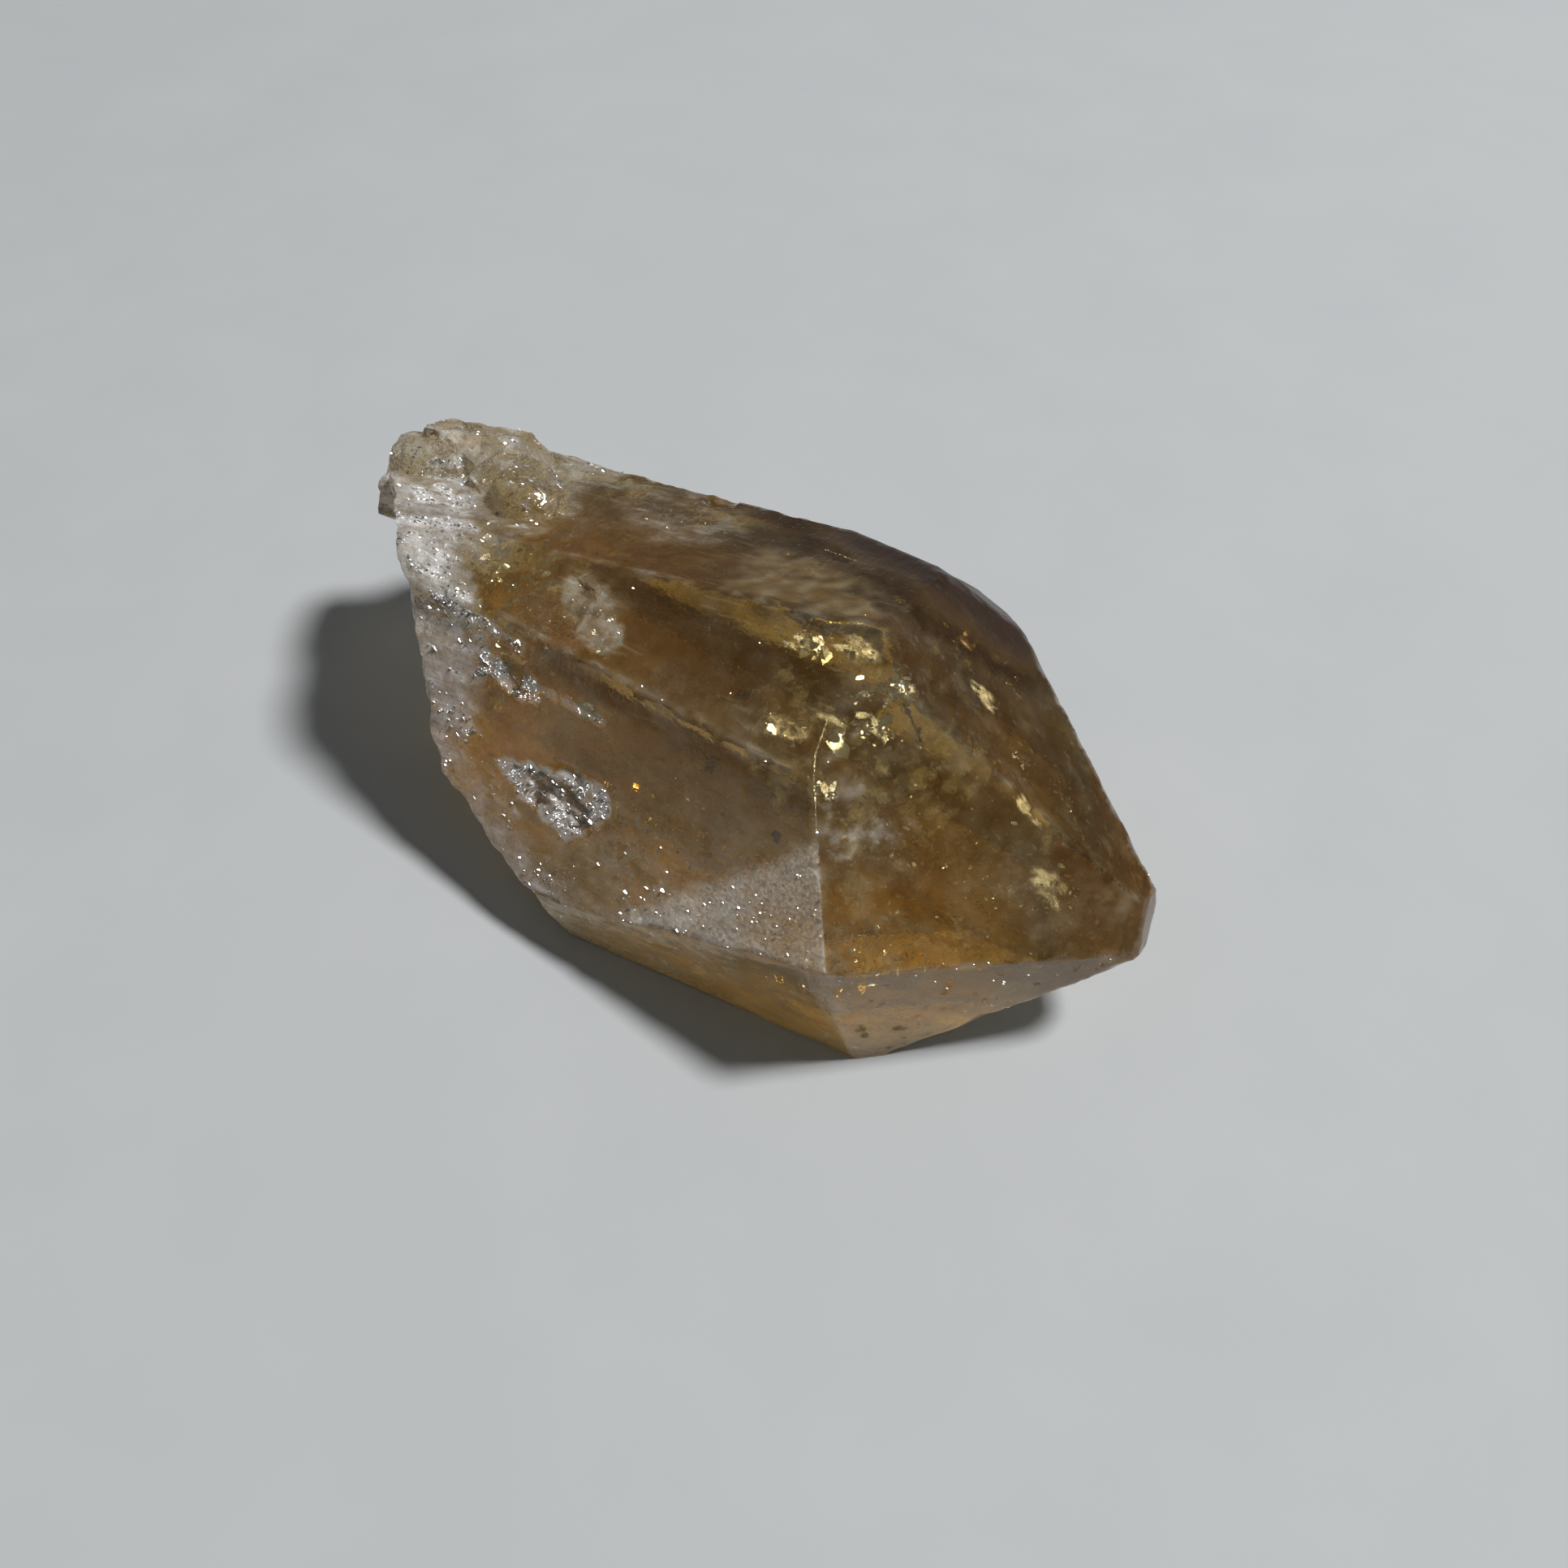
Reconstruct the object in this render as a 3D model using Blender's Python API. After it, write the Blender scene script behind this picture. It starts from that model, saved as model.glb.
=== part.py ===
"""Citrine crystal point.

One quartz crystal that grew as a single piece: a six-sided prism that swells
a little towards its shoulder, six rhombohedral faces that close it in a point,
and a rough, broken base with a lump of later growth on its upper side.  It
lies on one flattened side, so its lowest face is flat and is its rest.

Frame: metres, +Z up.  The crystal's length (its c axis) runs along +X, point
to +X, lifted by AXIS_LIFT above the ground plane Z = 0.  The origin is below
the middle of the crystal's outline, on the ground.

Every face is given as a mineralogist would measure it: its azimuth round the
c axis, its inclination from the c axis (quartz terminations lie near 52
degrees, prism faces near 90) and its distance from the axis origin.
"""

from math import cos, radians, sin

import bmesh
import bpy
from mathutils import Matrix, Vector, noise

# ---------------------------------------------------------------------------
# Driving dimensions: millimetres and degrees
# ---------------------------------------------------------------------------
MM = 0.001

# How the crystal lies: its point is lifted a little, and it is rolled round
# its own axis onto its flattened side.
AXIS_LIFT = 5.4
AXIS_ROLL = 131.1
AXIS_HEIGHT = 8.6
AXIS_ORIGIN_X = 1.17
AXIS_ORIGIN_Y = 0.06

# Uncut blank that the faces are cut from
BLANK_RADIUS = 27.0
BLANK_LENGTH = 70.0

# name: (azimuth, inclination, distance)
TERMINATION_FACES = {
    "rhomb_front": (0.5, 52.5, 18.8),
    "rhomb_upper": (-60.0, 51.0, 19.2),
    "rhomb_lower": (60.5, 51.0, 21.5),
    "rhomb_back_upper": (-120.0, 52.0, 20.1),
    "rhomb_back": (180.0, 52.0, 20.9),
    "rhomb_back_lower": (120.0, 51.5, 21.8),
    "tip_bevel": (0.5, 42.0, 22.5),
    "tip_cap": (-80.0, 8.0, 30.1),
}
PRISM_FACES = {
    "prism_front": (-16.0, 90.0, 13.75),
    "prism_upper": (-57.0, 93.5, 14.1),
    "prism_lower": (60.0, 86.5, 15.3),
    "prism_back_upper": (-120.5, 90.5, 14.0),
    "prism_back": (180.0, 90.0, 13.0),
    "shoulder_bevel": (-85.5, 66.5, 19.1),
    "crest_bevel": (-89.5, 83.5, 16.9),
}
# Two nearly level faces that meet in a shallow valley, below the front ridge
VALLEY_FACES = {
    "valley_upper": (21.5, 94.0, 12.18),
    "valley_lower": (18.0, 96.8, 11.58),
}

# Broken base: name: (azimuth, inclination, distance, roughness, seed)
FRACTURES = {
    "break_main": (46.0, 134.5, 19.4, 0.55, 3.0),
    "break_lower": (68.0, 116.5, 16.8, 0.35, 11.0),
    "break_back": (170.0, 150.0, 20.5, 0.80, 19.0),
    "break_back_upper": (-120.0, 140.0, 27.3, 0.60, 27.0),
}
FRACTURE_HALF_WIDTH = 30.0
FRACTURE_SEGMENTS = 46

# Later growth on the upper side of the base: centre along, front, below in the
# crystal's own axes, half sizes, seed
GROWTH_LUMPS = {
    "growth_lump": ((-25.4, 1.6, -12.6), (5.8, 4.2, 3.1), 5.0),
    "growth_lump_end": ((-28.6, 3.6, -11.3), (3.6, 3.8, 3.0), 2.0),
    "growth_lobe_near": ((-20.2, 5.4, -11.7), (3.3, 2.6, 2.0), 9.0),
    "growth_lobe_last": ((-17.5, 7.6, -10.7), (2.5, 2.2, 1.4), 14.0),
}

# Shell-shaped chips out of the faces: a point on the face, that face, the
# chip's width, its depth and its seed
CHIPS = {
    "chip_crescent": ((-7.4, 12.9, -4.6), "prism_front", 6.4, 0.70, 4.0),
    "chip_frosted": ((-6.4, 9.9, 6.8), "valley_upper", 6.6, 0.55, 8.0),
    "chip_flake": ((-11.1, 12.1, 0.4), "valley_upper", 3.2, 0.40, 15.0),
    "chip_crest": ((-7.3, 0.9, -15.9), "prism_upper", 3.0, 0.45, 21.0),
}

FACES = {**TERMINATION_FACES, **PRISM_FACES, **VALLEY_FACES}


# ---------------------------------------------------------------------------
# Helpers
# ---------------------------------------------------------------------------
def face_normal(azimuth, inclination):
    """Outward normal of a face in the crystal's own axes (c axis = +X)."""
    a, i = radians(azimuth), radians(inclination)
    return Vector((cos(i), sin(i) * cos(a), sin(i) * sin(a)))


def crystal_to_world():
    """Lays the crystal on its flattened side."""
    roll = Matrix.Rotation(radians(AXIS_ROLL), 4, "X")
    lift = Matrix.Rotation(-radians(AXIS_LIFT), 4, "Y")
    place = Matrix.Translation(
        Vector((AXIS_ORIGIN_X, AXIS_ORIGIN_Y, AXIS_HEIGHT)) * MM
    )
    return place @ lift @ roll


def cut_face(bm, azimuth, inclination, distance):
    """Cuts one flat face and closes the solid across it."""
    normal = face_normal(azimuth, inclination)
    cut = bmesh.ops.bisect_plane(
        bm,
        geom=bm.verts[:] + bm.edges[:] + bm.faces[:],
        dist=1e-7,
        plane_co=normal * distance * MM,
        plane_no=normal,
        clear_outer=True,
    )
    rim = [e for e in cut["geom_cut"] if isinstance(e, bmesh.types.BMEdge)]
    if rim:
        bmesh.ops.edgeloop_fill(bm, edges=rim)


def new_object(name, bm, collection, matrix):
    mesh = bpy.data.meshes.new(name)
    bmesh.ops.recalc_face_normals(bm, faces=bm.faces[:])
    bm.to_mesh(mesh)
    bm.free()
    obj = bpy.data.objects.new(name, mesh)
    collection.objects.link(obj)
    obj.matrix_world = matrix
    return obj


def as_cutter(obj):
    obj.hide_render = True
    obj.display_type = "WIRE"
    return obj


def add_boolean(target, tool, operation):
    modifier = target.modifiers.new(tool.name, "BOOLEAN")
    modifier.object = tool
    modifier.operation = operation
    modifier.solver = "EXACT"
    return modifier


def hackly(point, seed, strength):
    """Height of a broken quartz surface: broad shells with small ledges."""
    p = point * (1.0 / MM)
    shift = Vector((seed, seed * 1.7, seed * 0.6))
    shells = noise.noise(p * 0.11 + shift)
    ledges = noise.noise(p * 0.30 + shift * 2.0)
    steps = round(ledges * 3.0) / 3.0
    crumbs = noise.noise(p * 0.75 - shift)
    return strength * MM * (1.5 * shells + 0.55 * ledges + 0.45 * steps + 0.30 * crumbs)


# ---------------------------------------------------------------------------
# The solids
# ---------------------------------------------------------------------------
def blank(faces):
    """The hexagonal blank with its flat faces cut."""
    bm = bmesh.new()
    bmesh.ops.create_cone(
        bm,
        cap_ends=True,
        segments=6,
        radius1=BLANK_RADIUS * MM,
        radius2=BLANK_RADIUS * MM,
        depth=BLANK_LENGTH * MM,
        matrix=Matrix.Rotation(radians(90.0), 4, "Y"),
    )
    for azimuth, inclination, distance in faces.values():
        cut_face(bm, azimuth, inclination, distance)
    return bm


def valley_block():
    """What lies outside both valley faces, so cutting it leaves the valley."""
    bm = bmesh.new()
    bmesh.ops.create_cube(bm, size=90.0 * MM)
    for azimuth, inclination, distance in VALLEY_FACES.values():
        normal = face_normal(azimuth, inclination)
        cut = bmesh.ops.bisect_plane(
            bm,
            geom=bm.verts[:] + bm.edges[:] + bm.faces[:],
            dist=1e-7,
            plane_co=normal * distance * MM,
            plane_no=normal,
            clear_inner=True,
        )
        rim = [e for e in cut["geom_cut"] if isinstance(e, bmesh.types.BMEdge)]
        bmesh.ops.edgeloop_fill(bm, edges=rim)
    return bm


def fracture_block(azimuth, inclination, distance, strength, seed):
    """A block whose inner side is a rough break."""
    bm = bmesh.new()
    bmesh.ops.create_grid(
        bm,
        x_segments=FRACTURE_SEGMENTS,
        y_segments=FRACTURE_SEGMENTS,
        size=FRACTURE_HALF_WIDTH * MM,
    )
    for vert in bm.verts:
        vert.co.z += hackly(vert.co, seed, strength)
    grown = bmesh.ops.extrude_face_region(bm, geom=bm.faces[:])
    lifted = [g for g in grown["geom"] if isinstance(g, bmesh.types.BMVert)]
    for vert in lifted:
        vert.co.z = 30.0 * MM
    normal = face_normal(azimuth, inclination)
    turn = normal.to_track_quat("Z", "Y").to_matrix().to_4x4()
    bmesh.ops.transform(
        bm,
        matrix=Matrix.Translation(normal * distance * MM) @ turn,
        verts=bm.verts[:],
    )
    return bm


def growth_lump(centre, half_sizes, seed):
    """A knobbly lump of later growth."""
    bm = bmesh.new()
    bmesh.ops.create_icosphere(bm, subdivisions=3, radius=1.0)
    for vert in bm.verts:
        direction = vert.co.normalized()
        bump = noise.noise(direction * 1.7 + Vector((seed, 0.3 * seed, 1.9 * seed)))
        facet = noise.noise(direction * 4.0 - Vector((seed, seed, seed)))
        radius = 1.0 + 0.22 * bump + 0.10 * facet
        vert.co = Vector(
            (
                direction.x * half_sizes[0],
                direction.y * half_sizes[1],
                direction.z * half_sizes[2],
            )
        ) * (radius * MM)
    bmesh.ops.translate(bm, verts=bm.verts[:], vec=Vector(centre) * MM)
    return bm


def chip_ball(point, face, width, depth, seed):
    """An uneven ball that bites a shallow shell of this width and depth."""
    radius = (width * width / 4.0 + depth * depth) / (2.0 * depth)
    azimuth, inclination, distance = FACES[face]
    normal = face_normal(azimuth, inclination)
    on_face = Vector(point) - normal * (normal.dot(Vector(point)) - distance)
    bm = bmesh.new()
    bmesh.ops.create_icosphere(bm, subdivisions=4, radius=radius * MM)
    for vert in bm.verts:
        ripple = noise.noise(vert.co * (0.35 / MM) + Vector((seed, -seed, seed)))
        vert.co += vert.co.normalized() * (0.9 * depth * ripple * MM)
    bmesh.ops.translate(
        bm, verts=bm.verts[:], vec=(on_face + normal * (radius - depth)) * MM
    )
    return bm


# ---------------------------------------------------------------------------
# Material
# ---------------------------------------------------------------------------
def citrine_material():
    material = bpy.data.materials.new("citrine")
    material.use_nodes = True
    shader = material.node_tree.nodes["Principled BSDF"]
    shader.inputs["Base Color"].default_value = (0.55, 0.36, 0.14, 1.0)
    shader.inputs["Roughness"].default_value = 0.12
    shader.inputs["Metallic"].default_value = 0.0
    shader.inputs["IOR"].default_value = 1.545
    shader.inputs["Transmission Weight"].default_value = 0.85
    material.diffuse_color = (0.55, 0.36, 0.14, 1.0)
    return material


# ---------------------------------------------------------------------------
# Assembly
# ---------------------------------------------------------------------------
def main():
    for obj in list(bpy.data.objects):
        bpy.data.objects.remove(obj, do_unlink=True)

    scene = bpy.context.scene
    crystal_set = bpy.data.collections.new("citrine_crystal_point")
    cutter_set = bpy.data.collections.new("cutters")
    scene.collection.children.link(crystal_set)
    scene.collection.children.link(cutter_set)
    cutter_set.hide_render = True

    lie = crystal_to_world()

    crystal = new_object(
        "citrine_point",
        blank({**TERMINATION_FACES, **PRISM_FACES}),
        crystal_set,
        lie,
    )
    crystal.data.materials.append(citrine_material())

    valley = as_cutter(new_object("valley_block", valley_block(), cutter_set, lie))
    add_boolean(crystal, valley, "DIFFERENCE")

    for name, values in FRACTURES.items():
        tool = as_cutter(new_object(name, fracture_block(*values), cutter_set, lie))
        add_boolean(crystal, tool, "DIFFERENCE")

    for name, values in GROWTH_LUMPS.items():
        tool = as_cutter(new_object(name, growth_lump(*values), cutter_set, lie))
        add_boolean(crystal, tool, "UNION")

    for name, values in CHIPS.items():
        tool = as_cutter(new_object(name, chip_ball(*values), cutter_set, lie))
        add_boolean(crystal, tool, "DIFFERENCE")

    # The flat rest: everything below the ground plane goes
    bm = bmesh.new()
    bmesh.ops.create_cube(bm, size=120.0 * MM)
    below = Matrix.Translation(Vector((0.0, 0.0, -60.0)) * MM)
    ground = as_cutter(new_object("ground_block", bm, cutter_set, below))
    add_boolean(crystal, ground, "DIFFERENCE")

    # Broken faces and chips keep their crisp facets
    for polygon in crystal.data.polygons:
        polygon.use_smooth = False


main()
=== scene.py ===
"""Looks of the citrine crystal point: one see-through quartz crystal, with its
veils, fractures and specks sealed inside, on a plain pale floor."""

import math
import time

import bmesh
import bpy
import numpy as np
from mathutils import Matrix, Vector


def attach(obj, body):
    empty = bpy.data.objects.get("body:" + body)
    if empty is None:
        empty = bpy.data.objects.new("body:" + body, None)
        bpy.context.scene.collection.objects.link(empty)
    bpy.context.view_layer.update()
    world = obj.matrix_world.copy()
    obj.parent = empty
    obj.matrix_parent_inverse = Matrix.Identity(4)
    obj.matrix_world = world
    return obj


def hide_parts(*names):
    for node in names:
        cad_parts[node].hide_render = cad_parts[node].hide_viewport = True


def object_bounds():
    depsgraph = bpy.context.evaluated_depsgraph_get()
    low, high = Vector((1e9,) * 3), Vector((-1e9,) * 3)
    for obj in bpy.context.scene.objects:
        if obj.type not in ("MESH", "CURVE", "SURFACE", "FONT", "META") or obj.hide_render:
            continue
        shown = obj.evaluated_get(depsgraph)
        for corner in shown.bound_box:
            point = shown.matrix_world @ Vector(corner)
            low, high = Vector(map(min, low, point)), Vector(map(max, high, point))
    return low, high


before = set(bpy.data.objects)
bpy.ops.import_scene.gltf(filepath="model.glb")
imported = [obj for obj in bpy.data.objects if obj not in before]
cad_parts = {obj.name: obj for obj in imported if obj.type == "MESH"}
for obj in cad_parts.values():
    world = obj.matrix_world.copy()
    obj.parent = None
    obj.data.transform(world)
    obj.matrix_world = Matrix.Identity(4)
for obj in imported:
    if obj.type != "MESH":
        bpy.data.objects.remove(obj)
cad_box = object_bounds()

T0 = time.time()
MM = 0.001
PITCH = 0.30  # cell of the crystal's surface net, in mm


def log(*words):
    print(f"[{time.time() - T0:6.1f} s]", *words, flush=True)


# ---------------------------------------------------------------------------
# The crystal's own axes: c axis = +X, millimetres.  Same placing as part.py.
# ---------------------------------------------------------------------------
LIFT, ROLL = 5.4, 131.1
AXIS_AT = np.array((1.17, 0.06, 8.6))


def turn_matrix():
    t, l = math.radians(ROLL), math.radians(LIFT)
    rx = np.array(((1, 0, 0), (0, math.cos(t), -math.sin(t)), (0, math.sin(t), math.cos(t))))
    ry = np.array(((math.cos(l), 0, -math.sin(l)), (0, 1, 0), (math.sin(l), 0, math.cos(l))))
    return ry @ rx


TURN = turn_matrix()


def to_world(p):
    return np.atleast_2d(p) @ TURN.T + AXIS_AT


def to_crystal(p):
    return (np.atleast_2d(p) - AXIS_AT) @ TURN


def normal_of(azimuth, inclination):
    a, i = math.radians(azimuth), math.radians(inclination)
    return np.array((math.cos(i), math.sin(i) * math.cos(a), math.sin(i) * math.sin(a)))


# where the photograph's camera and light stand: broken facets lean so as to catch them
TO_CAMERA = np.array((0.344476, -0.558346, 0.754710)) @ TURN
TO_KEY = np.array((0.51, 0.29, 1.0)) / np.linalg.norm((0.51, 0.29, 1.0))

FACES = {
    "rhomb_front": (0.5, 52.5, 18.8),
    "rhomb_upper": (-60.0, 51.0, 19.2),
    "rhomb_lower": (60.5, 51.0, 21.5),
    "rhomb_back_upper": (-120.0, 52.0, 20.1),
    "rhomb_back": (180.0, 52.0, 20.9),
    "rhomb_back_lower": (120.0, 51.5, 21.8),
    "tip_bevel": (0.5, 42.0, 22.5),
    "tip_cap": (-80.0, 8.0, 30.1),
    "prism_front": (-16.0, 90.0, 13.75),
    "prism_upper": (-57.0, 93.5, 14.1),
    "prism_lower": (60.0, 86.5, 15.3),
    "prism_back_upper": (-120.5, 90.5, 14.0),
    "prism_back": (180.0, 90.0, 13.0),
    "shoulder_bevel": (-85.5, 66.5, 19.1),
    "crest_bevel": (-89.5, 83.5, 16.9),
}
VALLEY = {
    "valley_upper": (21.5, 94.0, 12.18),
    "valley_lower": (18.0, 96.8, 11.58),
}
FRACTURES = {
    "break_main": (46.0, 134.5, 19.4, 0.55, 3),
    "break_lower": (68.0, 116.5, 16.8, 0.35, 11),
    "break_back": (170.0, 150.0, 20.5, 0.80, 19),
    "break_back_upper": (-120.0, 140.0, 27.3, 0.60, 27),
}
LUMPS = (
    ((-25.4, 1.6, -12.6), (5.8, 4.2, 3.1), 5),
    ((-28.6, 3.6, -11.3), (3.6, 3.8, 3.0), 2),
    ((-20.2, 5.4, -11.7), (3.3, 2.6, 2.0), 9),
    ((-17.5, 7.6, -10.7), (2.5, 2.2, 1.4), 14),
)
CHIPS = (
    ((-7.4, 12.9, -4.6), "prism_front", 6.4, 0.70, 4),
    ((-6.4, 9.9, 6.8), "valley_upper", 6.6, 0.55, 8),
    ((-11.1, 12.1, 0.4), "valley_upper", 3.2, 0.40, 15),
    ((-7.3, 0.9, -15.9), "prism_upper", 3.0, 0.45, 21),
)
FACE_NAMES = list(FACES)
FACE_N = np.array([normal_of(a, i) for a, i, _ in FACES.values()])
FACE_D = np.array([d for _, _, d in FACES.values()])
PLANE = {**FACES, **VALLEY}


def plane_value(p, name):
    a, i, d = PLANE[name][:3]
    return p @ normal_of(a, i) - d


# ---------------------------------------------------------------------------
# Noise, seeded and the same each run
# ---------------------------------------------------------------------------
_rng = np.random.default_rng(20417)
GRADIENTS = _rng.normal(size=(256, 3))
GRADIENTS /= np.linalg.norm(GRADIENTS, axis=1)[:, None]
JITTER = _rng.random((256, 3))
TILT = _rng.normal(size=(256, 3))


def lattice(i, j, k, seed):
    h = (
        i.astype(np.int64) * 73856093
        ^ j.astype(np.int64) * 19349663
        ^ k.astype(np.int64) * 83492791
        ^ (int(seed) * 2654435761)
    ) & 0xFFFFFFFF
    h ^= h >> 13
    h = (h * 0x5BD1E995) & 0xFFFFFFFF
    h ^= h >> 15
    return h & 255


def noise(p, scale, seed=0):
    """Gradient noise, about -0.7 to 0.7, with lumps this many mm across."""
    q = p / scale
    base = np.floor(q)
    f = q - base
    base = base.astype(np.int64)
    u = f * f * f * (f * (f * 6 - 15) + 10)
    out = np.zeros(len(p))
    for dx in (0, 1):
        wx = u[:, 0] if dx else 1 - u[:, 0]
        for dy in (0, 1):
            wy = u[:, 1] if dy else 1 - u[:, 1]
            for dz in (0, 1):
                wz = u[:, 2] if dz else 1 - u[:, 2]
                g = GRADIENTS[lattice(base[:, 0] + dx, base[:, 1] + dy, base[:, 2] + dz, seed)]
                dot = g[:, 0] * (f[:, 0] - dx) + g[:, 1] * (f[:, 1] - dy) + g[:, 2] * (f[:, 2] - dz)
                out += wx * wy * wz * dot
    return out * 1.4


def shells(p, scale, seed=0, tilt=0.35, bowl=0.55):
    """Broken quartz: shallow tilted shells that meet in crisp ridges, 0 to 1."""
    q = p / scale
    base = np.floor(q).astype(np.int64)
    best = np.full(len(p), 1e9)
    for dx in (-1, 0, 1):
        for dy in (-1, 0, 1):
            for dz in (-1, 0, 1):
                cx, cy, cz = base[:, 0] + dx, base[:, 1] + dy, base[:, 2] + dz
                h = lattice(cx, cy, cz, seed)
                j, t = JITTER[h], TILT[h]
                ox = q[:, 0] - cx - j[:, 0]
                oy = q[:, 1] - cy - j[:, 1]
                oz = q[:, 2] - cz - j[:, 2]
                value = bowl * (ox * ox + oy * oy + oz * oz) + tilt * (t[:, 0] * ox + t[:, 1] * oy + t[:, 2] * oz) * 0.5
                np.minimum(best, value, out=best)
    return best


def smooth_step(x, low, high):
    t = np.clip((x - low) / (high - low), 0, 1)
    return t * t * (3 - 2 * t)


def smooth_min(a, b, k):
    h = np.clip(0.5 + 0.5 * (b - a) / k, 0, 1)
    return b * (1 - h) + a * h - k * h * (1 - h)


# ---------------------------------------------------------------------------
# The crystal as a distance field, in its own axes and millimetres
# ---------------------------------------------------------------------------
def coarse_field(p):
    """Flat faces, plain breaks and plain lumps: enough to find the surface."""
    f = (p @ FACE_N.T - FACE_D).max(axis=1)
    f = np.maximum(f, np.minimum(plane_value(p, "valley_upper"), plane_value(p, "valley_lower")))
    for a, i, d, _, _ in FRACTURES.values():
        f = np.maximum(f, p @ normal_of(a, i) - d)
    for centre, half, _ in LUMPS:
        f = np.minimum(f, ellipsoid(p, centre, half))
    return np.maximum(f, -(p @ TURN[2] + AXIS_AT[2]))


BLOCK_N = GRADIENTS[:44]


def block(p, centre, half, seed):
    """A lump of later growth, as a block of flat facets."""
    q = p - np.array(centre)
    n = BLOCK_N[(np.arange(16) * 7 + seed * 5) % len(BLOCK_N)]
    n = np.concatenate((n, -n[:6]))
    reach = np.linalg.norm(n * np.array(half), axis=1) * (0.84 + 0.14 * JITTER[(np.arange(len(n)) * 3 + seed) & 255, 0])
    return (q @ n.T - reach).max(axis=1)


def ellipsoid(p, centre, half, swell=0.0):
    q = (p - np.array(centre)) / np.array(half)
    r = np.linalg.norm(q, axis=1)
    g = np.linalg.norm(q / np.array(half), axis=1) + 1e-9
    return r * (r - 1 - swell) / g


def field(p):
    """The finished surface."""
    x = p[:, 0]
    planes = np.empty((len(p), len(FACE_D) + 1))
    planes[:, :-1] = p @ FACE_N.T - FACE_D
    planes[:, -1] = np.minimum(plane_value(p, "valley_upper"), plane_value(p, "valley_lower"))
    two = np.partition(planes, planes.shape[1] - 2, axis=1)[:, -2:]
    flat = two[:, 1]
    # slow waves that every grown face has
    flat = flat + 0.055 * noise(p, 7.0, 1) + 0.022 * noise(p, 2.6, 2)
    # edges are worn, more in some places than others
    wear = 0.05 + 0.30 * np.clip(noise(p, 2.4, 3) + 0.05, 0, 1) + 0.16 * np.clip(noise(p, 0.9, 4), 0, 1)
    worn = 0.70 * (two[:, 0] + two[:, 1]) + wear
    f = np.maximum(flat, worn)
    # a low lip of overgrowth along the edge of the front face
    edge = (plane_value(p, "prism_front") - plane_value(p, "valley_upper")) / 0.30
    along = smooth_step(x, -16.0, -11.0) * smooth_step(-x, -12.5, -10.5) * np.clip(0.55 + 1.6 * noise(p, 1.7, 71), 0, 1)
    f = f - 0.05 * along * np.exp(-edge * edge)
    # the base end grows rough
    near_base = smooth_step(-x, 11.5, 24.0)
    rough = np.flatnonzero((near_base > 0.001) & (np.abs(f) < 2.5))
    if len(rough):
        q = p[rough] * np.array((0.40, 1.0, 1.0))  # drawn out along the crystal
        f[rough] += near_base[rough] * (0.85 * shells(q, 2.9, 5, tilt=0.6) + 0.36 * shells(q, 1.15, 6, tilt=0.8) - 0.40)
    # the break
    for a, i, d, strength, seed in FRACTURES.values():
        s = p @ normal_of(a, i) - d
        s = s + strength * (0.9 * noise(p, 8.0, seed) + 0.35 * noise(p, 3.0, seed + 1))
        band = np.flatnonzero(np.abs(s) < 3.0)
        if len(band):
            q = p[band]
            s[band] += 1.15 * shells(q, 3.1, seed + 2, tilt=0.6) + 0.34 * shells(q, 1.15, seed + 3, tilt=0.7) - 0.42
        f = np.maximum(f, s)
    # later growth
    for centre, half, seed in LUMPS:
        e = block(p, centre, half, seed)
        band = np.flatnonzero(np.abs(e) < 2.5)
        if len(band):
            q = p[band]
            e[band] += 0.40 * noise(q, 3.0, seed) + 0.50 * shells(q, 1.9, seed + 40, tilt=0.7) + 0.26 * shells(q, 0.85, seed + 41, tilt=0.8) - 0.36
        f = smooth_min(f, e, 0.30)
    # chips
    for point, face, width, depth, seed in CHIPS:
        radius = (width * width / 4.0 + depth * depth) / (2.0 * depth)
        n = normal_of(*PLANE[face][:2])
        centre = np.array(point)
        centre = centre - n * (n @ centre - PLANE[face][2]) + n * (radius - depth)
        away = p - centre
        r = np.linalg.norm(away, axis=1)
        b = radius - r
        band = np.flatnonzero(np.abs(b) < 2.0)
        if len(band):
            q = p[band] * np.array((0.55, 1.0, 1.0))
            b[band] += depth * (0.8 * noise(p[band], 2.4, seed) + 0.75 * shells(q, 0.85, seed + 1, tilt=0.9) - 0.3)
        f = np.maximum(f, b)
    return np.maximum(f, -(p @ TURN[2] + AXIS_AT[2]))


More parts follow.
